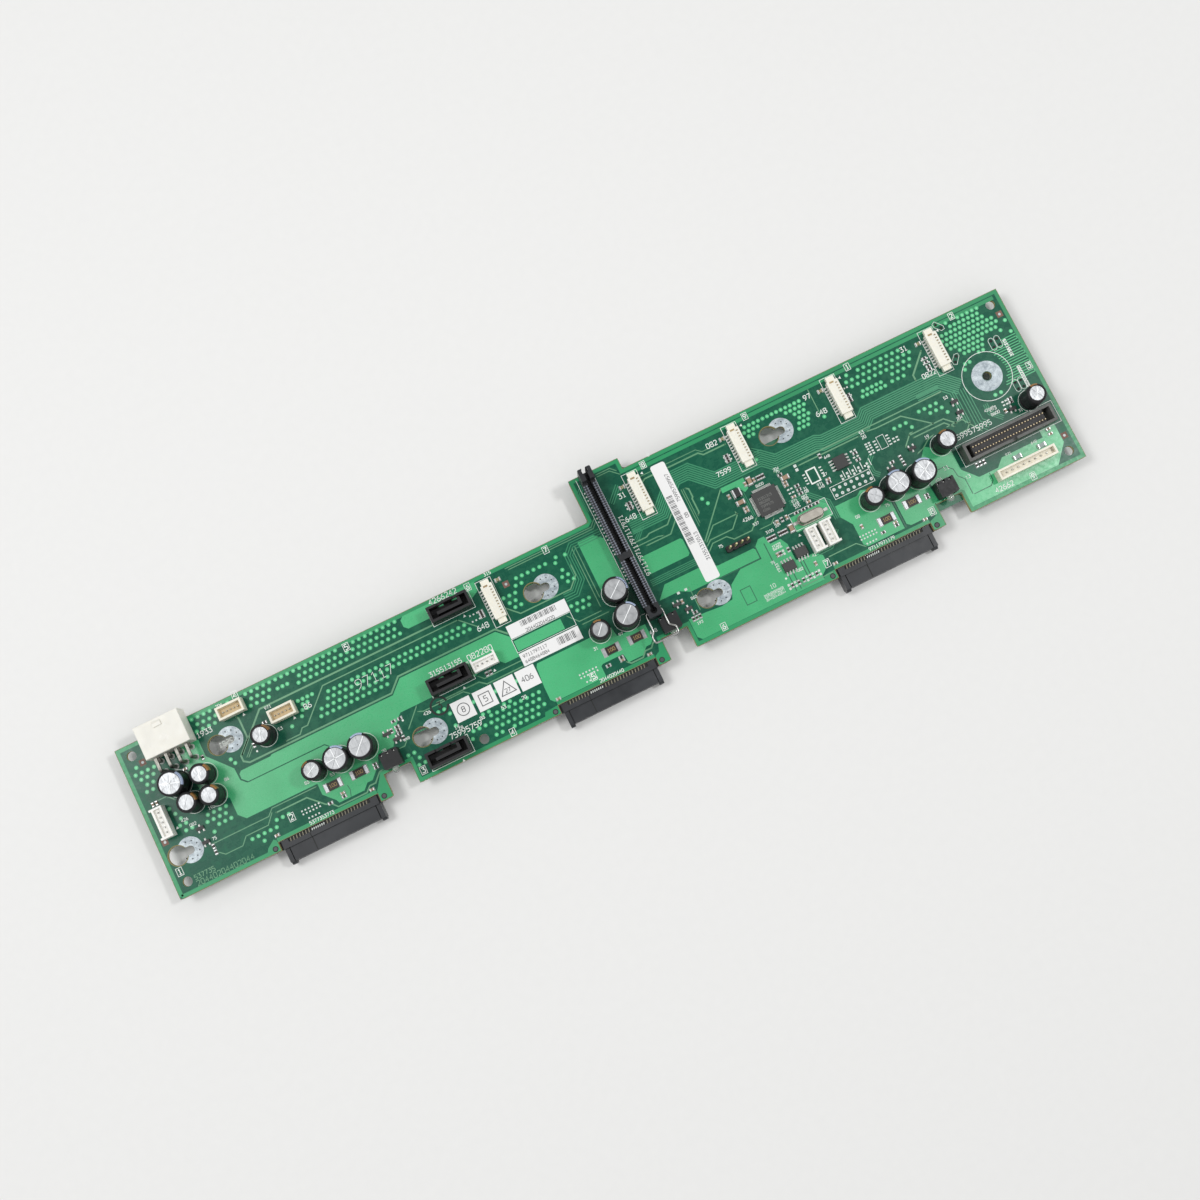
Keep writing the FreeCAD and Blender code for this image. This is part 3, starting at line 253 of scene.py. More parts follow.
mouldings = {
    # base colour, second colour, roughness, grain scale, bump, share of light that soaks in
    "blackMoulding": ((0.010, 0.010, 0.011), (0.017, 0.017, 0.019), 0.42, 900.0, 0.10, 0.0),
    "greyMoulding": ((0.014, 0.015, 0.017), (0.026, 0.028, 0.032), 0.34, 700.0, 0.08, 0.0),
    # on the drive connectors the lighter, bluer second colour lies in broad clouds as a painted sheen
    "combMoulding": ((0.012, 0.013, 0.015), (0.052, 0.056, 0.062), 0.34, 240.0, 0.10, 0.0),
    "panelMoulding": ((0.075, 0.079, 0.070), (0.115, 0.116, 0.112), 0.48, 900.0, 0.12, 0.0),
    "creamMoulding": ((0.84, 0.80, 0.68), (0.77, 0.72, 0.58), 0.38, 300.0, 0.06, 0.3),
    "paleMoulding": ((0.88, 0.86, 0.76), (0.82, 0.79, 0.67), 0.36, 300.0, 0.06, 0.3),
    "ivoryMoulding": ((0.80, 0.79, 0.73), (0.72, 0.70, 0.63), 0.40, 300.0, 0.06, 0.25),
    "whiteMoulding": ((0.88, 0.87, 0.83), (0.82, 0.81, 0.76), 0.36, 300.0, 0.06, 0.3),
    "labelPaper": ((0.84, 0.84, 0.84), (0.78, 0.78, 0.77), 0.55, 700.0, 0.05, 0.0),
    "chipMoulding": ((0.040, 0.041, 0.041), (0.068, 0.069, 0.068), 0.55, 3200.0, 0.22, 0.0),
    "shuntMoulding": ((0.022, 0.017, 0.014), (0.040, 0.032, 0.027), 0.32, 1500.0, 0.12, 0.0),
    "coilMoulding": ((0.020, 0.020, 0.021), (0.040, 0.040, 0.042), 0.35, 1500.0, 0.12, 0.0),
    "tanCeramic": ((0.36, 0.25, 0.16), (0.26, 0.17, 0.11), 0.45, 1800.0, 0.12, 0.0),
    "tealCeramic": ((0.33, 0.40, 0.38), (0.24, 0.31, 0.29), 0.42, 1800.0, 0.12, 0.0),
}


mouldingWear = {
    # dark plastics, whose base colour is under the limit, shine less than pale ones
    "gloss": 0.5, "darkGloss": 0.3, "darkLimit": 0.06,
    "broad": 60.0, "dust": 0.4, "dustShare": 0.25, "dustRange": (0.62, 0.75), "dustBright": 1.5,
    "dustHaze": 0.03, "smoother": 0.06, "rougher": 0.10, "depth": 0.0002,
    "soakReach": 0.002, "soakColour": (1.0, 0.94, 0.84),
}


def makeMoulding(name, first, second, roughness, grain, bump, soak):
    # two close colours in broad clouds, then dust at 0.4 of the grain's scale
    look = mouldingWear
    f = Finish(name)
    broad = f.noise(look["broad"], 3.0)
    fine = f.noise(grain, 3.0)
    dust = f.spread(f.noise(grain * look["dust"], 5.0, 0.7), 0.0, look["dustShare"], *look["dustRange"])
    dusty = [min(1.0, part * look["dustBright"] + look["dustHaze"]) for part in second]
    colour = f.blend(broad, first, second)
    colour = f.blend(dust, colour, dusty)
    rough = f.spread(fine, roughness - look["smoother"], roughness + look["rougher"])
    gloss = look["darkGloss"] if max(first) < look["darkLimit"] else look["gloss"]
    return f.skin(Base_Color=colour, Roughness=rough, Normal=f.bump(fine, bump, look["depth"]),
                  Specular_IOR_Level=gloss, Subsurface_Weight=soak, Subsurface_Scale=look["soakReach"],
                  Subsurface_Radius=look["soakColour"])


metals = {
    # base colour, tarnish colour, roughness, scratch stretch, share of metal
    "goldPlate": ((0.95, 0.80, 0.52), (0.80, 0.62, 0.34), 0.42, (1.0, 1.0, 0.2), 1.0),
    "bridgeSteel": ((0.40, 0.44, 0.50), (0.24, 0.27, 0.32), 0.34, (1.0, 1.0, 0.3), 1.0),
    "dullTin": ((0.50, 0.50, 0.48), (0.34, 0.34, 0.32), 0.36, (1.0, 1.0, 0.3), 1.0),
    "springWire": ((0.46, 0.46, 0.45), (0.30, 0.30, 0.29), 0.30, (1.0, 0.1, 1.0), 1.0),
    "drawnCan": ((0.42, 0.43, 0.44), (0.31, 0.32, 0.33), 0.40, (1.0, 0.15, 1.0), 1.0),
    "crystalCan": ((0.36, 0.34, 0.30), (0.28, 0.26, 0.23), 0.38, (0.12, 1.0, 1.0), 1.0),
    "fillerSolder": ((0.70, 0.71, 0.71), (0.48, 0.49, 0.50), 0.34, (1.0, 1.0, 1.0), 1.0),
    "capSolder": ((0.48, 0.49, 0.50), (0.32, 0.33, 0.35), 0.34, (1.0, 1.0, 1.0), 1.0),
    "pinTin": ((0.36, 0.35, 0.32), (0.22, 0.21, 0.19), 0.48, (1.0, 1.0, 0.3), 1.0),
    "leadTin": ((0.80, 0.80, 0.77), (0.62, 0.62, 0.59), 0.45, (1.0, 1.0, 0.3), 0.35),
}


metalWear = {
    "tarnish": 420.0, "tarnishRange": (0.35, 0.7), "scratches": 2600.0, "smoother": 0.05, "rougher": 0.12,
    "bump": 0.08, "depth": 0.0001,
}


def makeMetal(name, bright, dull, roughness, stretch, share):
    # tarnish in clouds over fine scratches that the stretch draws out along one axis
    look = metalWear
    f = Finish(name)
    tarnish = f.noise(look["tarnish"], 4.0, 0.6)
    drawn = f.noise(look["scratches"], 2.0, 0.5, stretch)
    colour = f.blend(f.spread(tarnish, 0.0, 1.0, *look["tarnishRange"]), bright, dull)
    rough = f.spread(drawn, roughness - look["smoother"], roughness + look["rougher"])
    return f.skin(Base_Color=colour, Metallic=share, Roughness=rough,
                  Normal=f.bump(drawn, look["bump"], look["depth"]))


bayCentres = (63.05, 181.3, 300.85)
driveTin = {
    # the dull colour, darkened further by the shade share, is painted shade on the contacts down in their
    # slots
    "bright": (0.86, 0.86, 0.84), "dull": (0.20, 0.19, 0.17), "slotShadeShare": 0.5, "wear": 900.0,
    "roughness": (0.24, 0.40), "shining": (-7.8, -2.2),
}


def makeContacts(look):
    # tin bars, dark with painted shade except where each bay's contacts shine, in metres along X
    f = Finish("driveTin")
    x = f.axes()[0]
    edges = [[cornerX + (bay + edge) * mm for edge in look["shining"]] for bay in bayCentres]
    shining = sum((x > low) * (x < high) for low, high in edges)
    wear = f.noise(look["wear"], 3.0)
    shaded = f.blend(wear, look["dull"], darker(look["dull"], look["slotShadeShare"]))
    colour = f.blend(shining, shaded, f.blend(wear, look["bright"], look["dull"]))
    return f.skin(Base_Color=colour, Metallic=1.0, Roughness=f.spread(wear, *look["roughness"]))


lensTints = {"clearLens": (0.80, 0.84, 0.80), "amberLens": (0.90, 0.82, 0.52)}
lensLook = {"fog": 500.0, "foggy": 0.85, "roughness": (0.05, 0.14), "bend": 1.5, "clear": 0.75, "coat": 0.3}


def makeLens(name, colour):
    # clear plastic with a little fog in its tint and its gloss
    look = lensLook
    f = Finish(name)
    fog = f.noise(look["fog"], 2.0)
    tint = f.blend(fog, colour, darker(colour, look["foggy"]))
    return f.skin(Base_Color=tint, Roughness=f.spread(fog, *look["roughness"]), IOR=look["bend"],
                  Transmission_Weight=look["clear"], Coat_Weight=look["coat"])


finishes = {name: makeMoulding(name, *values) for name, values in mouldings.items()}
finishes.update({name: makeMetal(name, *values) for name, values in metals.items()})
finishes["board"] = makeBoardFinish(boardGreen)
finishes.update({name: makeLens(name, tint) for name, tint in lensTints.items()})
finishes["driveTin"] = makeContacts(driveTin)


nodeCoats = {
    # each finish and the solid parts that wear it: name*3 stands for name_1 to name_3
    "board": "circuit_board", "greyMoulding": "bridge_socket", "panelMoulding": "panel_header_shroud",
    "blackMoulding": "data_socket*3 light_housing*3 pin_strip_body large_capacitor_sleeves "
                     "small_capacitor_sleeves",
    "combMoulding": "drive_connector*3", "ivoryMoulding": "power_header_housing",
    "creamMoulding": "cream_header*2 long_header", "paleMoulding": "fan_header*5",
    "whiteMoulding": "white_header*4", "chipMoulding": "controller_chip eight_lead_chips transistors",
    "labelPaper": "paper_labels", "shuntMoulding": "shunt_resistors chip_resistors",
    "coilMoulding": "square_coil", "tanCeramic": "chip_capacitors", "tealCeramic": "flat_fuses",
    "clearLens": "light_lenses", "amberLens": "signal_lights", "driveTin": "drive_connector_contacts",
    "bridgeSteel": "bridge_socket_contacts", "pinTin": "power_header_pins", "springWire": "card_bail",
    "goldPlate": "data_socket_contacts panel_header_pins pin_strip_pins", "crystalCan": "crystal_can",
    "leadTin": "fan_header_contacts controller_leads eight_lead_chip_leads transistor_leads",
    "dullTin": "light_leads small_header_pins capacitor_leads crystal_leads",
    "drawnCan": "large_capacitor_cans small_capacitor_cans", "capSolder": "shunt_end_caps",
    "fillerSolder": "chip_end_caps",
}


def named(words):
    for word in words.split():
        stem, _, count = word.partition("*")
        yield from ["%s_%d" % (stem, number + 1) for number in range(int(count))] if count else [stem]


coated = 0
for finishName, words in nodeCoats.items():
    for nodeName in named(words):
        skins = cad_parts[nodeName].data.materials
        skins.clear()
        skins.append(finishes[finishName])
        coated += 1
print("solid parts coated,", coated)

# flat shapes on the board, in mm from its front left corner

def onBoard(points, lift, under=False):
    # moves mm on the board's face into the part's frame: x and y from its corner, z just off its face
    points = np.asarray(points, float)
    heights = lift * mm + points[:, 2] * mm
    placed = np.column_stack([points[:, :2] * mm + (cornerX, cornerY), heights])
    placed[:, 2] = underZ - heights if under else topZ + heights
    return placed


class Layer:
    # gathers shapes at one height, then makes them one piece
    def __init__(self, name, lift, under=False):
        self.name, self.lift, self.under = name, lift, under
        self.points, self.faces, self.count = [], [], 0

    def add(self, points, faces):
        points = np.asarray(points, float)
        if points.shape[1] == 2:
            points = np.column_stack([points, np.zeros(len(points))])
        faces = [[index + self.count for index in face] for face in faces]
        self.points.append(points)
        self.faces.extend(faces)
        self.count += len(points)

    def addShape(self, corners):
        self.add(corners, [list(range(len(corners)))])

    def addMany(self, corners):
        # corners: shapes x corners x 2 or 3, every shape one face
        shapes, sides = corners.shape[:2]
        order = np.arange(shapes * sides).reshape(shapes, sides)
        self.add(corners.reshape(shapes * sides, -1), order.tolist())

    def build(self, finish):
        placed = onBoard(np.concatenate(self.points), self.lift, self.under)
        faces = [face[::-1] for face in self.faces] if self.under else self.faces
        return makePiece(self.name, placed, faces, finish)


def makePiece(name, points, faces, finish, body="board", smooth=False):
    mesh = bpy.data.meshes.new(name)
    mesh.from_pydata(np.asarray(points).tolist(), [], faces)
    mesh.update()
    mesh.materials.append(finishes[finish])
    if smooth:
        mesh.polygons.foreach_set("use_smooth", np.ones(len(mesh.polygons), bool))
    piece = bpy.data.objects.new(name, mesh)
    bpy.context.collection.objects.link(piece)
    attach(piece, body)
    return piece


def sheet(name, lift, shapes, finish, under=False):
    layer = Layer(name, lift, under)
    layer.addMany(shapes)
    return layer.build(finish)


def bands(name, lift, runs, finish, under=False):
    # one piece from bent lines, each with its width
    layer = Layer(name, lift, under)
    for width, points in runs:
        layer.add(*ribbon(points, width))
    return layer.build(finish)


def discs(centres, radius, sides=10):
    # each disc is a regular polygon: centre plus radius times cosine and sine of even steps
    turn = np.arange(sides) * 2 * math.pi / sides
    rim = radius * np.column_stack([np.cos(turn), np.sin(turn)])
    return np.asarray(centres, float)[:, None, :] + rim[None, :, :]


def rectangles(boxes):
    # boxes: x0, y0, x1, y1 in each row
    b = np.asarray(boxes, float)
    return np.stack([b[:, [0, 1]], b[:, [2, 1]], b[:, [2, 3]], b[:, [0, 3]]], axis=1)


def boxesAt(x, y, halfX, halfY):
    # rectangles about their middles: x and y are numbers or lists
    x, y = (np.ravel(part) for part in np.broadcast_arrays(np.asarray(x, float), np.asarray(y, float)))
    return rectangles(np.column_stack([x - halfX, y - halfY, x + halfX, y + halfY]))


def boxCorners(x0, y0, x1, y1):
    return [(x0, y0), (x1, y0), (x1, y1), (x0, y1)]


def ribbon(points, width, closed=False):
    # band along a bent line: each point steps sideways along the mitre of its two runs
    p = np.asarray(points, float)
    before = np.roll(p, 1, axis=0) if closed else np.vstack([2 * p[0] - p[1], p[:-1]])
    after = np.roll(p, -1, axis=0) if closed else np.vstack([p[1:], 2 * p[-1] - p[-2]])
    a = (p - before) / np.linalg.norm(p - before, axis=1)[:, None]
    b = (after - p) / np.linalg.norm(after - p, axis=1)[:, None]
    along = a + b
    along /= np.linalg.norm(along, axis=1)[:, None]
    stretch = 1 / np.clip(np.sum(along * a, axis=1), 0.5, 1)
    side = np.column_stack([-along[:, 1], along[:, 0]]) * (stretch * width / 2)[:, None]
    n = len(p)
    steps = np.arange(n if closed else n - 1)
    after = (steps + 1) % n
    faces = np.column_stack([steps, steps + n, after + n, after])[:, ::-1]
    return np.vstack([p + side, p - side]), faces.tolist()


def shifted(points, offset):
    # the same bent line, moved sideways by a steady distance
    verts, _ = ribbon(points, 2 * abs(offset) if offset else 1e-6)
    n = len(points)
    return verts[:n] if offset > 0 else verts[n:]


def ring(centre, radius, width, start=0.0, end=360.0, sides=40):
    # flat ring between the radius less and plus half the width, from one angle to another
    turn = np.radians(np.linspace(start, end, sides + 1))
    spokes = np.column_stack([np.cos(turn), np.sin(turn)])
    outer = np.asarray(centre) + spokes * (radius + width / 2)
    inner = np.asarray(centre) + spokes * (radius - width / 2)
    steps = np.arange(sides)
    faces = np.column_stack([steps, steps + 1, steps + sides + 2, steps + sides + 1])[:, ::-1]
    return np.vstack([outer, inner]), faces.tolist()


usualPitch = 2.54


def rowsOfDots(rows):
    # (y, first x, how many[, pitch]) to a list of centres
    parts = []
    for y, first, count, *pitch in rows:
        step = pitch[0] if pitch else usualPitch
        parts.append(np.column_stack([first + step * np.arange(count), np.full(count, y)]))
    return np.concatenate(parts)


def islands(nodeName, below=None):
    # lowest and highest corner of each separate solid in a node, in mm from the board's corner: the smallest
    # label of a face's corners spreads until nothing changes; with below, only of the part under that height
    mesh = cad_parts[nodeName].data
    raw = np.empty(len(mesh.vertices) * 3)
    mesh.vertices.foreach_get("co", raw)
    points, same = np.unique(np.round(raw.reshape(-1, 3), 7), axis=0, return_inverse=True)
    corners = np.empty(len(mesh.loops), int)
    mesh.loops.foreach_get("vertex_index", corners)
    triangles = same.reshape(-1)[corners].reshape(-1, 3)
    label = np.arange(len(points))
    while True:
        least = label[triangles].min(axis=1)
        spread = label.copy()
        for side in range(3):
            np.minimum.at(spread, triangles[:, side], least)
        if np.array_equal(spread, label):
            break
        label = spread
    boxes = []
    for own in np.unique(label):
        members = points[label == own]
        if below is not None:
            members = members[members[:, 2] < topZ + below * mm]
        if len(members):
            boxes.append((members.min(axis=0), members.max(axis=0)))
    return (np.array(boxes) - boardCorner) / mm


def middlesOf(boxes):
    return boxes[:, :, :2].mean(axis=1)


# copper under the mask

printInks = {
    # colour and second colour as a screen shows them, roughness
    "copperPour": ((72, 182, 122), (56, 164, 106), 0.24),
    "edgePour": ((14, 134, 82), (24, 148, 92), 0.30),
    "maskGap": ((12, 88, 62), (18, 98, 70), 0.32),
    "trackCopper": ((104, 158, 118), (78, 140, 102), 0.30),
    "bundleCopper": ((48, 142, 100), (38, 128, 88), 0.30),
    "viaCopper": ((84, 198, 132), (66, 178, 116), 0.28),
    # pale middle of each via dot: a painted highlight
    "viaHighlight": ((144, 222, 172), (120, 204, 154), 0.30),
    "whiteInk": ((240, 244, 238), (218, 226, 220), 0.55),
    "bareLaminate": ((140, 128, 82), (112, 104, 66), 0.6),
    "brownMark": ((122, 88, 74), (104, 74, 62), 0.5),
    "darkHole": ((16, 20, 18), (26, 28, 24), 0.7),
    "blackStamp": ((12, 22, 18), (18, 36, 28), 0.6),
    "padTin": ((186, 196, 196), (158, 170, 172), 0.30),
    "landTin": ((222, 228, 222), (196, 204, 198), 0.30),
    # solder, also laid on the tops of the feet as a painted highlight
    "solderAndHighlight": ((206, 208, 204), (168, 172, 168), 0.24),
    "goldStripe": ((152, 110, 58), (108, 76, 38), 0.26),
    # pale blue stripe on the large sleeves: a painted highlight
    "sleeveHighlight": ((176, 192, 218), (136, 150, 178), 0.26),
    "scoreShine": ((250, 252, 252), (232, 236, 238), 0.24),
    "labelInk": ((104, 106, 106), (84, 86, 88), 0.55),
    "ribGrey": ((132, 138, 150), (98, 104, 116), 0.34),
    "deepShade": ((46, 44, 46), (34, 33, 35), 0.50),
    # tan of the fan headers' windows, and of the painted shade patch on them
    "slotTan": ((176, 152, 108), (150, 128, 90), 0.45),
    "combTooth": ((140, 134, 112), (112, 106, 88), 0.40),
    # pale gold on the pin tips: a painted highlight
    "pinHighlight": ((236, 218, 176), (214, 190, 142), 0.30),
    "creamShade": ((206, 184, 142), (190, 166, 124), 0.45),
    "plasticGrey": ((84, 86, 90), (62, 64, 68), 0.45),
    "goldInk": ((176, 150, 96), (150, 124, 74), 0.45),
    "greyInk": ((140, 142, 138), (116, 118, 114), 0.50),
    "boardShade": ((34, 112, 80), (26, 98, 70), 0.35),
}


inkWear = {
    "broad": 40.0, "fine": 900.0, "speck": 0.6, "speckShare": 0.18, "speckRange": (0.5, 0.8), "rougher": 0.1,
    "bump": 0.08, "depth": 0.00005,
}


def makeInk(name, first, second, roughness):
    # two close colours in broad clouds, with fine darker specks
    look = inkWear
    f = Finish(name)
    first, second = fromScreen(*first), fromScreen(*second)
    broad = f.noise(look["broad"], 3.0)
    fine = f.noise(look["fine"], 3.0)
    colour = f.blend(f.spread(broad, 0.0, 1.0), first, second)
    specks = f.spread(fine, 0.0, look["speckShare"], *look["speckRange"])
    colour = f.blend(specks, colour, darker(second, look["speck"]))
    rough = f.spread(fine, roughness, roughness + look["rougher"])
    return f.skin(Base_Color=colour, Roughness=rough, Normal=f.bump(fine, look["bump"], look["depth"]))


finishes.update({name: makeInk(name, *values) for name, values in printInks.items()})

padLook = {
    "light": fromScreen(196, 206, 210), "mid": fromScreen(136, 148, 156), "speck": fromScreen(88, 98, 102),
    "mottle": 420.0, "grain": 2400.0, "drag": (0.25, 1.0, 1.0), "dragScale": 2.0, "cloudShare": 0.6,
    "mottleRange": (0.38, 0.62), "speckRange": (0.60, 0.68), "speckShare": 0.7, "roughness": (0.30, 0.55),
    "metal": (0.05, 0.35), "bump": 0.3, "depth": 0.0001,
}


def makePad(look):
    # worn tin: clouds and smears dragged along X, added by their shares, and dark specks
    f = Finish("tinnedPad")
    cloud = f.noise(look["mottle"], 4.0, 0.7)
    drag = f.noise(look["mottle"] * look["dragScale"], 3.0, 0.6, look["drag"])
    speck = f.noise(look["grain"], 2.0)
    mottle = cloud * look["cloudShare"] + drag * (1 - look["cloudShare"])
    colour = f.blend(f.spread(mottle, 0.0, 1.0, *look["mottleRange"]), look["mid"], look["light"])
    specks = f.spread(speck, 0.0, look["speckShare"], *look["speckRange"])
    colour = f.blend(specks, colour, look["speck"])
    rough = f.spread(drag, *look["roughness"])
    return f.skin(Base_Color=colour, Roughness=rough, Metallic=f.spread(cloud, *look["metal"]),
                  Normal=f.bump(cloud, look["bump"], look["depth"]))


finishes["wornTin"] = makePad(padLook)

copperAreas = {
    "lift": 0.02, "gapLift": 0.03,
    "shapes": [
        # left end and the first bay
        [(22.5, 52.4), (30.8, 52.4), (30.8, 45.3), (38.7, 36.3), (39, 31.2), (41.1, 29.1), (73.4, 29.1),
         (74.6, 28), (74.6, 17), (35.2, 17), (32.6, 19.7), (32.6, 27), (24, 30), (22.5, 45)],
        [(40.6, 34.4), (53, 34.4), (53.8, 34.9), (105.1, 34.9), (110.2, 39.7), (151, 39.7), (155.3, 35.4),
         (155.3, 27), (149.3, 27), (147, 29.3), (140, 29.3), (137, 27.6), (104.8, 27.6), (103, 26), (97, 17),
         (90.5, 17), (88.6, 12.9), (86.8, 11.4), (84.4, 9), (82.2, 9), (80, 6.8), (69.4, 6.8), (68.8, 8.2),
         (64.8, 12.4), (64.8, 17), (74.9, 17), (74.9, 28.2), (73.6, 29.5), (41.5, 29.5), (39.6, 31.4),
         (39.6, 33.4)],
        [(121.4, 61), (152, 61), (152, 57.2), (149, 55.6), (121.4, 55.6), (120, 57), (120, 59.8)],
        # between the labels and the card socket
        [(160.2, 21.5), (192, 21.5), (192.6, 17.5), (204.3, 16.8), (204.3, 10.3), (203, 8.9), (201, 8.9),
         (198.4, 6.4), (192.2, 6.4), (191.6, 10.2), (182.9, 10.2), (182, 9.6), (182, 5.2), (160, 5.2),
         (158.7, 6.6), (158.7, 12), (159.4, 20.3)],
        [(155.8, 33.2), (175.8, 33.2), (175.8, 28.9), (155.8, 28.9)],
        [(194.8, 57), (201.6, 57), (204.8, 54.2), (204.8, 32), (202, 28), (194.8, 30)],
        # right of the card socket
        [(214.5, 41), (231.5, 41), (232.2, 40.2), (232.2, 34.2), (231.4, 33.4), (214.5, 33.4)],
        [(213.4, 22.5), (218, 27.4), (232.5, 27.4), (240, 24.9), (255.2, 24.9), (255.8, 24.2), (255.8, 20.4),
         (225.8, 20.4), (222, 22.5)],
        [(220.3, 11), (220.3, 3.4), (221.9, 1.8), (274.6, 1.8), (274.6, 3.6), (276.5, 5), (278.4, 7),
         (278.4, 10.6), (276, 12.8), (268, 13.4), (268, 20.5), (266.4, 23.6), (262, 23.6), (261, 27.3),
         (258.5, 27.3), (256.3, 25.2), (256.3, 19.8), (247, 19.8), (241.2, 15.9), (239, 10.6), (234, 10),
         (228, 10.6)],
        [(273.5, 22.9), (289, 22.9), (289, 30.4), (286, 30.4), (286, 29.3), (273.5, 29.3)],
        [(254.3, 51.7), (264.3, 51.7), (264.3, 47), (262.5, 46.2), (260, 49.6), (254.3, 49.6)],
        [(291.3, 25.6), (301, 25.6), (303, 27), (311.8, 24), (311.8, 6), (295.8, 6), (294.4, 7.4),
         (294.4, 16.2), (291.3, 20.8)],
        [(313.2, 24), (327.6, 24), (328.6, 10.6), (325.6, 8.6), (323.8, 6), (314.6, 6), (313.2, 7.2)],
        # right end
        [(328.9, 10), (328.9, 26), (333.5, 31.5), (340.5, 26), (342.3, 25), (342.3, 16.8), (347.3, 11.2),
         (355.6, 11.2), (358.8, 14.2), (377, 14.2), (377, 17.2), (383.6, 17.2), (383.6, 9), (377.4, 1.8),
         (339.6, 1.8), (339.6, 9), (338.6, 10)],
    ],
    "gaps": [
        # (width, points): dark lines that part one area from the next
        (0.35, [(233, 20.1), (255.6, 20.1), (256, 20.6), (256, 25.6)]), (0.4, [(259.8, 24.8), (259.8, 14)]),
        (0.35, [(333.5, 20.8), (337.2, 20.8), (339.6, 18.5), (340, 15.2), (342, 13), (342, 6.4)]),
        (0.35, [(342.4, 6.1), (350, 6.1), (351.6, 7.8), (351.6, 11)]),
        (0.3, [(243.2, 12.4), (247.4, 12.4), (247.4, 6), (243.2, 6), (243.2, 12.4)]),
        (0.3, [(74.9, 11.5), (75.2, 9.5), (74.4, 6.9)]), (0.5, [(312.5, 26), (312.5, 6)]),
        (0.4, [(262.9, 2.6), (262.9, 9.6)]), (0.4, [(264.9, 2.6), (264.9, 9.6)]),
        (0.4, [(269.4, 6.2), (269.4, 13)]), (0.4, [(270.6, 6.2), (270.6, 13)]),
    ],
}

edgeCopper = {
    "lift": 0.015, "cornerLift": 0.011, "width": 1.5,
    "runs": [
        [(0.95, 0.95), (40.6, 0.95)],
        [(0.95, 0.95), (0.95, 61.5), (201.2, 61.5), (202.9, 62.6), (202.9, 79.5), (222.7, 79.5),
         (222.7, 74.8), (387.9, 74.8), (387.9, 0.95), (339, 0.95), (339, 9.7), (326.8, 9.7)],
        [(84.8, 0.95), (88.4, 0.95), (88.4, 9.7), (101.1, 9.7), (101.1, 0.95), (159.3, 0.95)],
        [(203, 0.95), (206.7, 0.95), (206.7, 9.7), (219.3, 9.7), (219.3, 0.95), (279.1, 0.95)],
        [(322.6, 0.95), (326.3, 0.95), (326.3, 9.7)], [(42.2, 4.3), (83.9, 4.3)],
        [(160.4, 4.3), (202.2, 4.3)], [(280, 4.3), (321.7, 4.3)], [(224, 72.9), (386, 72.9)],
    ],
    "corners": [
        [(36.2, 0.3), (42, 0.3), (42, 4.4), (41, 5.2), (37.8, 3)],
        [(84.1, 0.3), (88.8, 0.3), (88.8, 8.6), (87.6, 9.4), (86, 7), (84.1, 4.4)],
        [(153.6, 0.3), (160.3, 0.3), (160.3, 3.6), (154.8, 3.2)],
        [(202.4, 0.3), (207, 0.3), (207, 8.8), (205.8, 8.8), (204.5, 5), (202.4, 4)],
        [(272, 0.3), (279.8, 0.3), (279.8, 3.6), (276, 3.4)],
        [(321.9, 0.3), (326.3, 0.3), (326.3, 8), (325.2, 8), (324.8, 5), (321.9, 4)],
    ],
}

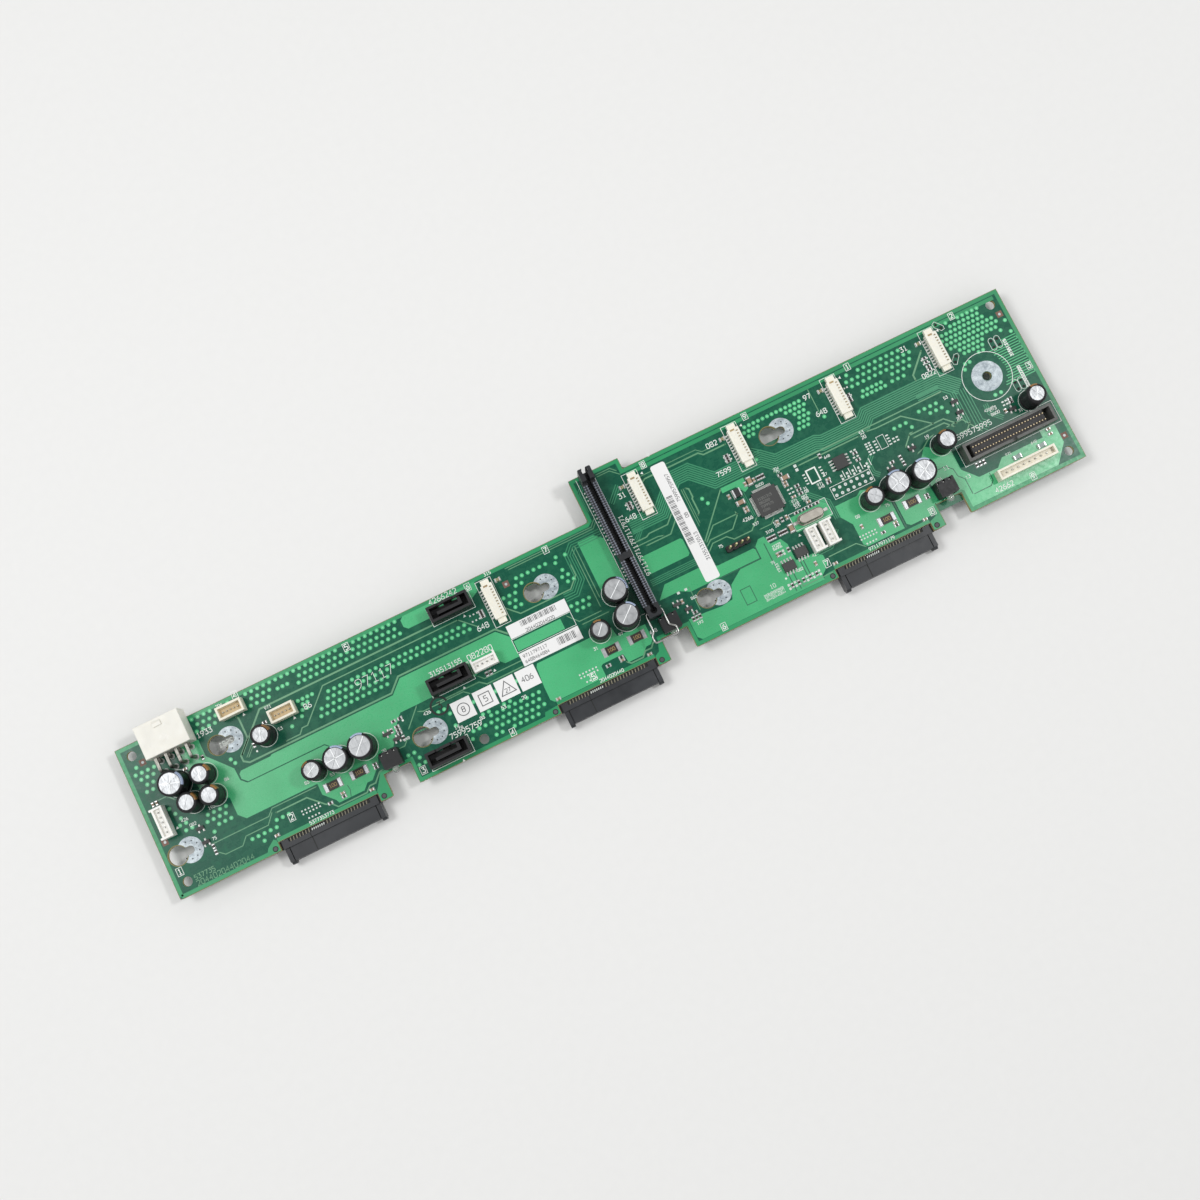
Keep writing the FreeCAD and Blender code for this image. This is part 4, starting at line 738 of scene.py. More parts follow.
viaDots = {
    "lift": 0.03, "highlightLift": 0.038, "radius": 0.80, "highlightRadius": 0.34, "sides": 14, "highlightSides": 8,
    "rows": [
        # (y, first x, how many, pitch where it isn't 2.54)
        (53, 5.1, 1), (50.4, 3.7, 4), (48, 5, 3), (45.3, 6.3, 2), (42.8, 5.1, 2), (33.2, 10.1, 1),
        (30.5, 11.4, 1), (28, 12.6, 1), (25.6, 11.2, 2), (23, 12.6, 2), (24.7, 22.4, 4), (22.3, 21.2, 4),
        (19.7, 24.9, 3), (17.8, 22.1, 1), (60.5, 31.6, 4), (57.9, 32.9, 4), (55.4, 31.6, 4), (60.4, 46.7, 1),
        (60.4, 54.2, 16), (60.4, 99.9, 8), (57.8, 55.6, 4), (56.8, 66.3, 3, 2.05), (57.8, 75.8, 17),
        (55.3, 54.3, 4), (55.3, 74.5, 18), (47.3, 83.4, 24, 2.52), (44.9, 82.1, 25, 2.52), (42.3, 78.3, 12),
        (39.7, 77, 12), (49, 71.3, 4, 2), (47.1, 72.5, 2, 2), (45.1, 71.5, 2, 2), (43, 70.3, 1),
        (41.1, 65.3, 1), (40, 38.9, 1), (38, 39.9, 1), (8.9, 33.9, 5), (11.4, 45.2, 3), (6.3, 37.8, 1),
        (11.4, 100.6, 2), (8.8, 104.2, 1), (6.3, 102.9, 2), (11.3, 135.7, 9), (8.8, 127, 12),
        (6.2, 135.6, 9), (3.7, 134.4, 2), (3.7, 142.1, 5), (13.8, 121.8, 1), (18.9, 121.8, 1),
        (21.3, 118, 2), (6.2, 125.5, 1), (13, 133, 2), (13, 142, 2), (18.9, 131.8, 1), (18.9, 141.1, 1),
        (18.9, 150.1, 1), (50, 159.5, 3), (47.3, 160.9, 2), (44.9, 162.2, 2), (52.4, 165.9, 2),
        (55, 167.3, 6, 2.52), (55, 188.4, 1), (55.6, 184.7, 1), (53.6, 183.6, 1), (50, 184.9, 1),
        (47.5, 183.6, 2), (45, 184.9, 2), (35.7, 181.8, 4), (33.2, 183.2, 3), (51.2, 246.2, 1),
        (48.6, 247.4, 1), (69.4, 273.8, 13, 2), (67.4, 272.7, 4, 2), (67.4, 291, 5, 2), (65.4, 273.8, 2, 2),
        (65.4, 293.9, 3, 2), (63.4, 295, 3, 2), (61.4, 293.9, 3, 2), (59.4, 292.9, 3, 2), (59.4, 304, 1),
        (55.8, 272.2, 1), (70.4, 324.4, 8), (70.4, 319.3, 1), (67.9, 318, 12), (65.4, 319.3, 11),
        (62.9, 335.8, 4), (60.3, 334.5, 3), (61.9, 322.3, 5, 2), (59.9, 321.2, 6, 2), (44.8, 338.2, 4, 2.52),
        (42.3, 342, 3), (43, 326.4, 3), (40.5, 332.9, 1), (39.7, 348.3, 1), (72, 364.3, 1),
        (72, 369.6, 5, 2.15), (70, 365.3, 7, 2), (68, 360.5, 10, 2), (65.9, 359.6, 12, 2),
        (63.9, 360.6, 12, 2), (61.8, 361.3, 11, 2), (59.8, 364.3, 6, 2), (59.8, 382.5, 1),
        (57.8, 365.3, 5, 2), (57.7, 386, 1), (62.7, 386, 1), (55.8, 370.6, 2, 2), (53.8, 363.5, 2, 2),
        (51.8, 362.4, 1), (37.5, 368.4, 2, 2.5),
    ],
}

tracks = {
    "lift": 0.035, "bundleLift": 0.021, "hair": 0.0003, "endSides": 8,
    "lines": [
        # (width, points)
        (0.7, [(47.4, 53.8), (48.1, 53), (48.1, 44.6), (43, 39.4), (43, 37.2), (45, 35.8), (104.9, 35.8),
               (109.9, 40.6), (151.3, 40.6), (155.3, 36.7)]),
        (0.7, [(43.6, 39.6), (56.7, 52.7), (131, 52.7)]),
        (0.35, [(19.6, 13.9), (43, 13.9), (45.4, 16.2), (64, 16.2)]),
        (0.35, [(20.4, 10), (22.5, 8.2), (29.6, 8.2), (32.2, 11), (41.5, 11), (44.8, 14.8)]),
        (0.55, [(46.2, 14), (59, 14), (64.5, 8.5), (66.5, 7.8), (68.5, 5.6), (80.5, 5.6), (82.5, 7.5),
                (85, 7.5), (88, 10.6), (89.5, 10.9)]),
        (0.5, [(7, 38), (11.2, 38), (13.6, 35.4)]), (0.3, [(44.8, 38), (49, 42.2)]),
        (0.3, [(45.4, 37.6), (49.4, 41.6)]),
        (0.45, [(140, 50.2), (82.3, 50.2), (70.8, 38.9), (68.5, 38.9), (66.8, 37), (61, 37)]),
        (0.45, [(140, 50.2), (146, 44.3)]), (0.4, [(105, 20.5), (111.5, 27.2)]),
        (0.35, [(98.5, 15.3), (101, 15.3), (103, 17.4)]),
        (0.4, [(111, 25), (113, 24.2), (130, 24.2), (132.2, 22.3)]),
        (0.5, [(119, 24.9), (137, 24.9), (139.5, 22.9), (155, 22.9)]),
        (0.4, [(137.5, 27.2), (139.5, 25.2), (155.3, 25.2)]),
        (0.5, [(158.3, 46.5), (163, 41.8), (184.5, 41.8), (188.7, 45.9), (188.7, 50.5)]),
        (0.35, [(165, 60.2), (202.3, 60.2), (205, 62.9)]), (0.35, [(166, 59.3), (202.8, 59.3), (205, 61.5)]),
        (0.35, [(178.5, 33), (182, 29), (191.5, 29)]), (0.35, [(182.5, 27.4), (194, 27.4)]),
        (0.35, [(191.9, 56), (191.9, 30.5)]), (0.35, [(193.2, 56.4), (193.2, 34)]),
        (0.6, [(191.5, 6.9), (193, 5.6), (198, 5.6), (199.8, 7.5), (202.5, 7.5), (204.5, 9.6)]),
        (0.3, [(228, 69.8), (252.5, 69.8), (254.5, 68), (258, 68)]),
        (0.6, [(227.5, 67), (229.5, 68.2), (252.8, 68.2), (254.5, 66.7), (264, 66.7)]),
        (0.5, [(239.5, 35.5), (254.3, 51.4)]), (0.45, [(240, 34.9), (245.3, 39.9), (256, 39.9)]),
        (0.45, [(239.5, 33.4), (241.8, 35.2), (251.5, 35.2), (255.5, 39.3), (255.5, 41)]),
        (0.45, [(239.3, 31.2), (242, 33.6), (248, 33.6), (250.3, 31.4), (258, 31.4), (262, 35.3)]),
        (0.5, [(218.5, 44.1), (229, 44.1), (233.5, 48.7)]),
        (0.5, [(214, 47.2), (220, 47.2), (221.5, 48), (229.5, 48), (233, 51.4)]),
        (0.4, [(214, 45.4), (224, 45.4), (226.3, 44.8)]),
        (0.6, [(242.2, 57.8), (243.2, 57), (243.2, 53.5), (242.7, 53), (242.7, 47), (242, 46.2)]),
        (0.3, [(240.4, 58), (240.4, 42)]), (0.3, [(241.2, 58), (241.2, 43)]),
        (0.5, [(276, 48.1), (331, 48.1), (350, 48.1)]), (0.5, [(286, 46.4), (312.5, 46.4)]),
        (0.5, [(316, 46.8), (320, 46.3), (331, 46.3), (341, 38.1)]),
        (0.5, [(330.5, 38), (345.5, 38), (349.4, 34.1)]), (0.5, [(331.5, 36.4), (345, 36.4), (348, 33.3)]),
        (0.5, [(327, 34.5), (331, 38.6), (332.2, 38.6)]),
        (0.5, [(330, 30), (333, 31), (336.5, 33.4), (339, 34)]),
        (0.7, [(343, 56.5), (343, 58.8), (350.4, 66.2)]), (0.35, [(261, 30.4), (266, 30.4), (268, 32.2)]),
        (0.35, [(226, 12.4), (226, 22.4)]), (0.4, [(345, 34.5), (352, 34.5), (357, 27)]),
        (0.45, [(348.5, 30), (352, 30), (354.5, 32.5)]), (0.4, [(280, 9), (292, 9), (295, 6.2)]),
        (0.4, [(266, 5), (266, 3), (279, 3)]), (0.35, [(301.7, 60), (303, 61.2), (303, 72)]),
        (0.35, [(221, 76), (219, 78), (213, 78)]), (0.35, [(221.8, 74), (218.5, 77.1), (213, 77.1)]),
    ],
    "bundles": [
        # (how many, pitch, width, points)
        (4, 1, 0.35, [(204.6, 56.8), (192.3, 56.8), (189.5, 54), (189.5, 43.6), (185.6, 39.6), (181, 39.6)]),
        (8, 0.85, 0.5, [(216, 53.5), (229.5, 53.5), (239.5, 63.4), (246, 63.4), (254, 55.6), (274, 55.6),
                        (278.4, 51.5), (296, 51.5), (298.5, 50.4), (316.5, 50.4), (319.5, 53.2),
                        (350.5, 53.2), (357.4, 46.5)]),
        (4, 0.75, 0.35, [(213.5, 30), (233, 30)]), (3, 0.8, 0.35, [(214, 51), (219.5, 51), (216, 47.8)]),
        (3, 0.9, 0.4, [(340, 49.7), (349.7, 49.7), (353.5, 46), (353.5, 32.5)]),
        (4, 1.15, 0.35, [(357.6, 45.6), (357.6, 30.5), (360.5, 27.5)]),
        (2, 0.7, 0.3, [(261.5, 47), (261.5, 36)]),
        (3, 0.8, 0.35, [(276, 34.5), (284, 34.5), (290, 28.5), (290, 21)]),
        (3, 0.8, 0.35, [(313, 29), (311, 31), (311, 35.2), (313.5, 37.6)]),
        (3, 0.8, 0.35, [(363, 36), (363, 32), (367, 28)]), (2, 0.9, 0.4, [(272, 60.5), (280, 53.8)]),
        (2, 0.8, 0.35, [(288, 17.2), (282.8, 11.7), (276, 11.7)]),
        (3, 0.9, 0.35, [(213.5, 65), (219, 70.5)]), (3, 0.8, 0.35, [(206.4, 76.5), (204, 74), (204, 66)]),
    ],
    "meander": {"first": 39.2, "pitch": 1.06, "count": 17, "right": 387.0, "width": 0.4,
                "lefts": (374.2, 374.8, 376, 376, 377, 377, 377.4, 377.4, 377, 377, 376.4, 376.4, 375.4,
                          375.4, 374.4, 380.6, 380.6)},
}


def buildCopper():
    pour = Layer("copperAreas", copperAreas["lift"])
    for shape in copperAreas["shapes"]:
        # turned the right way up: the cross products of its corners add up to less than zero when clockwise
        shape = np.asarray(shape)
        following = np.roll(shape, -1, axis=0)
        clockwise = np.sum(shape[:, 0] * following[:, 1] - shape[:, 1] * following[:, 0]) < 0
        pour.addShape(shape[::-1] if clockwise else shape)
    pour.build("copperPour")
    bands("copperGaps", copperAreas["gapLift"], copperAreas["gaps"], "maskGap")
    runs = [(edgeCopper["width"], points) for points in edgeCopper["runs"]]
    bands("edgeCopper", edgeCopper["lift"], runs, "edgePour")
    wedges = Layer("edgeCorners", edgeCopper["cornerLift"])
    for shape in edgeCopper["corners"]:
        wedges.addShape(shape)
    wedges.build("edgePour")
    centres = rowsOfDots(viaDots["rows"])
    sheet("viaDots", viaDots["lift"], discs(centres, viaDots["radius"], viaDots["sides"]), "viaCopper")
    # a pale disc in the middle of each dot is a painted highlight
    sheet("viaHighlights", viaDots["highlightLift"], discs(centres, viaDots["highlightRadius"], viaDots["highlightSides"]), "viaHighlight")
    print("copper areas and", len(centres), "dots")


def buildTracks():
    lines = Layer("trackLines", tracks["lift"])
    for width, points in tracks["lines"]:
        lines.add(*ribbon(points, width))
        lines.addMany(discs([points[0], points[-1]], width / 2, tracks["endSides"]))
    lines.build("trackCopper")
    # level lines of the meander, joined by turns at every second gap
    snake = tracks["meander"]
    right, pitch = snake["right"], snake["pitch"]
    heights = snake["first"] + pitch * np.arange(snake["count"])
    runs = [[(left, y), (right, y)] for y, left in zip(heights, snake["lefts"])]
    runs += [[(right, y), (right, y + pitch)] for y in heights[:-1:2]]
    bands("meander", tracks["lift"], [(snake["width"], points) for points in runs], "copperPour")
    bundles = Layer("trackBundles", tracks["bundleLift"])
    laid = 0
    for count, pitch, width, points in tracks["bundles"]:
        for step in range(count):
            offset = (step - (count - 1) / 2) * pitch
            flat, faces = ribbon(shifted(points, offset) if offset else points, width)
            # each track lies a hair above the last, so that crossing ones never share a plane
            bundles.add(np.column_stack([flat, np.full(len(flat), tracks["hair"] * laid)]), faces)
            laid += 1
    bundles.build("bundleCopper")
    print("tracks drawn")


buildCopper()
buildTracks()

# bare pads and printed ink

keyholes = {
    "entries": [(5.9, 15.6), (36.7, 47.1), (108.6, 15.4), (171.0, 47.0), (230.3, 15.4), (280.9, 62.0)],
    "entryRadius": 3.75, "slotHalf": 1.6, "slotEnd": 5.2, "padRadius": 5.05, "padInner": 4.08,
    "viaCircle": 3.5, "viaRadius": 0.28, "viaAngles": (-138, -100, -62, -24, 24, 62, 100), "viaSides": 8,
    "bareGap": 0.04, "bareAngles": (28, 332), "lift": 0.045, "viaLift": 0.051, "bareLift": 0.015,
    "rimPoints": 33, "cutPoints": 6, "slotPoints": 13,
}


def arc(middle, radius, turns):
    return np.column_stack([middle + radius * np.cos(turns), radius * np.sin(turns)])


def buildScrewPads():
    # silver land around each keyhole slot: a circle less the entry and the slot, so a C open to the left; the
    # entry's cut meets the circle at x = (inner squared - reach squared + apart squared) / (2 apart)
    look = keyholes
    reach, mouth, inner, apart = look["padRadius"], look["slotHalf"], look["padInner"], look["slotEnd"]
    meetX = (inner ** 2 - reach ** 2 + apart ** 2) / (2 * apart)
    meetY = math.sqrt(inner ** 2 - meetX ** 2)
    startAngle = math.atan2(meetY, meetX - apart)
    rim = arc(apart, reach, np.linspace(startAngle, -startAngle, look["rimPoints"]))
    cutAngles = -math.atan2(meetY, meetX), -math.asin(mouth / inner)
    lowerCut = arc(0.0, inner, np.linspace(*cutAngles, look["cutPoints"]))
    slotRim = arc(apart, mouth, np.linspace(-math.pi / 2, math.pi / 2, look["slotPoints"]))
    upperCut = (lowerCut * (1, -1))[::-1]
    shape = np.vstack([rim, lowerCut[1:], slotRim, upperCut[:-1]])
    # the row of small holes follows the land at one distance from the slot's round end
    holes = arc(apart, look["viaCircle"], np.radians(look["viaAngles"]))
    gap = (look["entryRadius"] + inner) / 2
    width = inner - look["entryRadius"] - look["bareGap"]
    pads = Layer("keyholePads", look["lift"])
    vias = Layer("keyholeVias", look["viaLift"])
    bare = Layer("keyholeBareRings", look["bareLift"])
    for entry in look["entries"]:
        pads.addShape(entry + shape[::-1])
        vias.addMany(discs(entry + holes, look["viaRadius"], look["viaSides"]))
        bare.add(*ring(entry, gap, width, *look["bareAngles"]))
    pads.build("wornTin")
    vias.build("darkHole")
    bare.build("bareLaminate")
    print("screw pads")


strokes = {
    # plain numerals, one unit high and 0.6 wide, as bent lines
    "0": [[(0.1, 0), (0.5, 0), (0.6, 0.15), (0.6, 0.85), (0.5, 1), (0.1, 1), (0, 0.85), (0, 0.15), (0.1, 0)]],
    "1": [[(0.1, 0.8), (0.32, 1), (0.32, 0)], [(0.08, 0), (0.56, 0)]],
    "2": [[(0, 0.85), (0.12, 1), (0.48, 1), (0.6, 0.85), (0.6, 0.62), (0, 0), (0.6, 0)]],
    "3": [[(0, 1), (0.6, 1), (0.3, 0.6), (0.5, 0.6), (0.6, 0.45), (0.6, 0.15), (0.48, 0), (0.1, 0),
           (0, 0.15)]],
    "4": [[(0.45, 0), (0.45, 1), (0, 0.35), (0.62, 0.35)]],
    "5": [[(0.58, 1), (0.05, 1), (0.02, 0.56), (0.46, 0.56), (0.6, 0.42), (0.6, 0.14), (0.46, 0), (0, 0)]],
    "6": [[(0.5, 1), (0.2, 0.8), (0, 0.45), (0, 0.15), (0.12, 0), (0.48, 0), (0.6, 0.15), (0.6, 0.38),
           (0.48, 0.52), (0.02, 0.52)]],
    "7": [[(0, 1), (0.6, 1), (0.2, 0)]],
    "8": [[(0.14, 0.54), (0, 0.7), (0, 0.88), (0.12, 1), (0.48, 1), (0.6, 0.88), (0.6, 0.7), (0.46, 0.54),
           (0.14, 0.54), (0, 0.4), (0, 0.14), (0.12, 0), (0.48, 0), (0.6, 0.14), (0.6, 0.4), (0.46, 0.54)]],
    "9": [[(0.1, 0), (0.4, 0.2), (0.6, 0.55), (0.6, 0.85), (0.48, 1), (0.12, 1), (0, 0.85), (0, 0.62),
           (0.12, 0.48), (0.58, 0.48)]],
}


digitStep, digitWidth = 0.86, 0.6


def write(layer, digits, place, height, thickness, turn=0.0):
    # digits side by side, a step of their height apart, from their lower left corner and turned about it
    c, s = math.cos(math.radians(turn)), math.sin(math.radians(turn))
    for index, digit in enumerate(str(digits)):
        for line in strokes[digit]:
            flat = (np.array(line, float) + (index * digitStep, 0)) * height
            layer.add(*ribbon(flat @ np.array([[c, s], [-s, c]]) + place, thickness))


printed = {
    "lift": 0.05, "line": 0.2, "grow": 0.5, "bold": 0.36, "margin": 0.55, "markStroke": 0.18,
    "ringShare": 1.2,
    "sectors": [
        # (numeral, x, y of its corner, size): the board's nine boxed places and their marks
        (1, 3.6, 9.1, 1.5), (4, 49.9, 61, 1.5), (2, 50.3, 9.1, 1.5), (5, 96.3, 59, 1.5), (3, 103, 3.1, 1.5),
        (6, 148.5, 59.5, 1.3), (4, 140, 1.2, 1.3), (7, 182, 59.3, 1.3), (5, 177, 6.7, 1.5),
        (8, 231, 72.9, 1.2), (6, 230.9, 1.9, 1.3), (9, 275.5, 72.7, 1.2), (7, 277.9, 6.3, 1.5),
        (1, 320.8, 72.7, 1.2), (8, 324, 6.5, 1.5), (2, 367.3, 72.9, 1.2), (9, 366, 1.6, 1.3),
        (3, 385.5, 41.6, 1.3),
    ],
    "outlines": [
        # x0, y0, x1, y1
        (155.3, 28.4, 180.4, 34), (344.4, 16.9, 386.8, 26), (273.4, 23.5, 289.2, 30.6),
        (292.8, 27.9, 310.1, 33.1), (318.2, 37.7, 321.2, 43),
    ],
    # frames round the data sockets and the fan headers, each with a triangle at its first pin
    "sockets": {"middles": [(139.5, 55.4), (127.5, 30.3), (115.4, 5.3)], "size": (17.8, 7.2),
                "triangle": [(2.9, -5.3), (4.1, -5.3), (3.5, -4.3)]},
    "fans": {"middles": [(155.2, 50.45), (224.9, 63.5), (268.3, 63.5), (311.9, 63.5), (355.4, 63.5)],
             "size": (6.4, 19.4), "triangle": [(4.0, 7.2), (5.0, 6.6), (5.0, 7.8)]},
    "lines": [
        [(205, 79.4), (205, 32)], [(212.2, 79.4), (212.2, 22)], [(213, 20.6), (204.6, 20.6)],
    ],
    "rings": [
        # x, y, radius
        (369, 45.6, 10),
    ],
    "marks": [
        (254.3, 7.6, 1.5), (336.2, 19.4, 1.5), (356, 57.4, 1.4), (342.4, 12.6, 1.3), (121, 12.4, 1.4),
    ],
}


def buildPrint():
    look = printed
    line, margin, grow = look["line"], look["margin"], look["grow"]
    ink = Layer("printedLines", look["lift"])
    for numeral, x, y, size in look["sectors"]:
        size += grow
        x, y = x - grow * digitWidth / 2, y - grow / 2
        write(ink, numeral, (x, y), size, look["bold"])
        box = boxCorners(x - margin, y - margin, x + size * digitWidth + margin, y + size + margin)
        ink.add(*ribbon(box, line, closed=True))
    frames = [boxCorners(*outline) for outline in look["outlines"]]
    framed = (look["sockets"], look["fans"])
    for own in framed:
        halfX, halfY = np.array(own["size"]) / 2
        frames += [boxCorners(x - halfX, y - halfY, x + halfX, y + halfY) for x, y in own["middles"]]
    for frameCorners in frames:
        ink.add(*ribbon(frameCorners, line, closed=True))
    for points in look["lines"]:
        ink.add(*ribbon(points, line))
    for x, y, radius in look["rings"]:
        ink.add(*ring((x, y), radius, line * look["ringShare"]))
    # two-digit place numbers beside the small parts, counted on from 10
    for number, (x, y, size) in enumerate(look["marks"], 10):
        write(ink, number, (x, y), size, look["markStroke"])
    for own in framed:
        for middle in own["middles"]:
            ink.addShape(np.add(own["triangle"], middle))
    ink.build("whiteInk")
    print("printed lines")


testPads = {
    "lift": 0.045,
    "small": [
        # (y, first x, how many, pitch): small grey lands
        (10.1, 55.2, 6, 1.4), (8.8, 55.2, 6, 1.4), (6.6, 56.6, 4, 1.4), (10.2, 173, 6, 1.4),
        (8.9, 173, 6, 1.4), (6.6, 174.4, 4, 1.4), (10.6, 294.6, 6, 1.3), (9.3, 294.6, 6, 1.3),
        (7, 295.9, 4, 1.3), (49.5, 144.9, 4, 1.5), (47, 144.9, 4, 1.5), (62, 218.2, 3, 1.2),
        (60.4, 218.2, 3, 1.2), (62, 261.2, 3, 1.2), (60.4, 261.2, 3, 1.2), (66, 316.2, 2, 1.2),
        (62.5, 316.2, 2, 1.2), (62.6, 348.8, 3, 1.2), (60.8, 348.8, 3, 1.2),
    ],
    "smallHalf": 0.31,
    "bars": [
        # (x of each column, y of each row, half width, half height)
        ((286,), (42.1, 40.8, 39.6, 38.3), 0.55, 0.25), ((293.1,), (42.1, 40.8, 39.6, 38.3), 0.55, 0.25),
        ((316.9, 322.4), (41.9, 40.6, 39.4, 38.1), 0.6, 0.27),
    ],
    "socketTails": {"x": 205.9, "ranges": [(46.5, 74.2), (34, 40.6)], "pitch": 1.57, "radius": 0.36,
                    "sides": 8},
}
fiducials = {"centres": [(8.1, 53.8), (3.5, 22.4), (162.8, 54.6), (385.2, 65.8), (385.0, 11.2)],
             "half": 1.25, "dot": 0.55, "dotSides": 12, "lift": 0.03, "dotLift": 0.038}
largePad = {"centre": (369.0, 45.7), "middle": 4.075, "width": 4.25, "lift": 0.042, "sides": 48}


def buildTestPads():
    lands = Layer("testPads", testPads["lift"])
    half = testPads["smallHalf"]
    lands.addMany(boxesAt(*rowsOfDots(testPads["small"]).T, half, half))
    for columns, rows, halfX, halfY in testPads["bars"]:
        lands.addMany(boxesAt(*np.meshgrid(columns, rows), halfX, halfY))
    tails = testPads["socketTails"]
    for low, high in tails["ranges"]:
        ys = np.arange(low, high, tails["pitch"])
        lands.addMany(discs([(tails["x"], y) for y in ys], tails["radius"], tails["sides"]))
    lands.build("landTin")
    look = fiducials
    squares = boxesAt(*np.transpose(look["centres"]), look["half"], look["half"])
    sheet("fiducialSquares", look["lift"], squares, "brownMark")
    sheet("fiducialDots", look["dotLift"], discs(look["centres"], look["dot"], look["dotSides"]), "padTin")
    look = largePad
    land = Layer("largePad", look["lift"])
    land.add(*ring(look["centre"], look["middle"], look["width"], sides=look["sides"]))
    land.build("wornTin")
    print("test pads and fiducials")


buildScrewPads()
buildPrint()
buildTestPads()

# solder

solderLook = {
    "land": 0.22, "spread": 0.26, "rise": 0.7, "steps": 4, "padLift": 0.046, "lift": 0.05,
    "coneReach": 0.62, "coneRise": 1.05, "coneSides": 14,
    "flatNodes": ("chip_end_caps", "shunt_end_caps"),
    # nodes with feet, and how far the solder of each reaches round a foot
    "footNodes": {"controller_leads": 0.08, "eight_lead_chip_leads": 0.16, "transistor_leads": 0.16,
                  "crystal_leads": 0.16, "fan_header_contacts": 0.16},
    "footRise": 0.14, "footSteps": 2, "topInset": -0.04, "topLift": 0.01,
    # radius at the pin and on the board, rise, sides and steps of the cones round the power pins
    "powerCone": (0.62, 1.15, 0.6, 18, 5), "padMargin": 0.14,
    "tailNodes": ("power_header_pins", "light_leads", "pin_strip_pins", "small_header_pins",
                  "capacitor_leads"),
    # only what lies under the first height is a foot, and under the second a tail
    "footHeight": 0.2, "tailHeight": -1.7,
}


def skirts(boxes, spread, rise, steps):
    # concave solder wedge around each foot: the outline steps out by spread times t, its height falls as
    # rise times (1 - t) squared, with t from 0 at the metal to 1 on the board
    t = np.linspace(0.0, 1.0, steps + 1)
    outwards = np.array([-1, -1, 1, 1])
    outlines = np.stack([rectangles(boxes + spread * share * outwards) for share in t], axis=1)
    heights = np.asarray(rise, float).reshape(-1, 1) * (1 - t) ** 2
    heights = np.broadcast_to(heights[..., None, None], outlines.shape[:3] + (1,))
    return gridFaces(np.concatenate([outlines, heights], axis=-1))


def cones(centres, inner, outer, rise, sides, steps):
    # round solder cone about each pin: the radius runs evenly from inner to outer, the height falls as
    # rise times (1 - t) squared
    t = np.linspace(0.0, 1.0, steps + 1)
    turn = np.arange(sides) * 2 * math.pi / sides
    radius = inner + (outer - inner) * t
    rim = np.stack([radius[:, None] * np.cos(turn), radius[:, None] * np.sin(turn),
                    np.repeat((rise * (1 - t) ** 2)[:, None], sides, axis=1)], axis=-1)
    centres = np.column_stack([np.asarray(centres, float), np.zeros(len(centres))])
    return gridFaces(centres[:, None, None, :] + rim[None])


def gridFaces(grid):
    # grid: shapes x steps x sides x 3, each shape a closed tube of rings from the inside out
    index = np.arange(grid[..., 0].size).reshape(grid.shape[:3])
    beside = np.roll(index, -1, axis=2)
    faces = np.stack([index[:, :-1], index[:, 1:], beside[:, 1:], beside[:, :-1]], axis=-1)
    return grid.reshape(-1, 3), faces.reshape(-1, 4).tolist()


def flatBoxes(boxes, grow=0.0):
    return np.hstack([boxes[:, 0, :2] - grow, boxes[:, 1, :2] + grow])


def atTops(shapes, boxes, lift=0.0):
    # flat shapes, one for each solid, raised to that solid's top
    heights = np.repeat(boxes[:, 1, 2:3] + lift, shapes.shape[1], axis=1)
    return np.concatenate([shapes, heights[..., None]], axis=2)


def buildSolder():
    look = solderLook
    lands = Layer("solderLands", look["padLift"])
    wedges = Layer("solderWedges", look["lift"])
    shine = Layer("footHighlights", 0.0)
    for nodeName in look["flatNodes"]:
        boxes = islands(nodeName)
        lands.addMany(rectangles(flatBoxes(boxes, look["land"])))
        wedges.add(*skirts(flatBoxes(boxes), look["spread"], boxes[:, 1, 2] * look["rise"], look["steps"]))
    for nodeName, grow in look["footNodes"].items():
        boxes = islands(nodeName, look["footHeight"])
        lands.addMany(rectangles(flatBoxes(boxes, grow)))
        wedges.add(*skirts(flatBoxes(boxes), grow, look["footRise"], look["footSteps"]))
        # a pale sheet on the top of each foot is a painted highlight
        shine.addMany(atTops(rectangles(flatBoxes(boxes, look["topInset"])), boxes, look["topLift"]))
    wedges.add(*cones(middlesOf(islands("power_header_pins", look["tailHeight"])), *look["powerCone"]))
    lands.build("padTin")
    shine.build("solderAndHighlight")
    wedges.build("solderAndHighlight")
    under = Layer("solderUnder", look["lift"], True)
    pads = Layer("solderPadsUnder", look["padLift"], True)
    joints = 0
    for nodeName in look["tailNodes"]:
        boxes = islands(nodeName, look["tailHeight"])
        middles = middlesOf(boxes)
        half = float(np.median((boxes[:, 1, 0] - boxes[:, 0, 0]) / 2))
        rim = half + look["coneReach"]
        under.add(*cones(middles, half, rim, look["coneRise"], look["coneSides"], look["steps"]))
        pads.addMany(discs(middles, rim + look["padMargin"], look["coneSides"]))
        joints += len(middles)
    under.build("solderAndHighlight")
    pads.build("padTin")
    print("solder on", joints, "tails")


buildSolder()

# capacitor sleeves and can tops

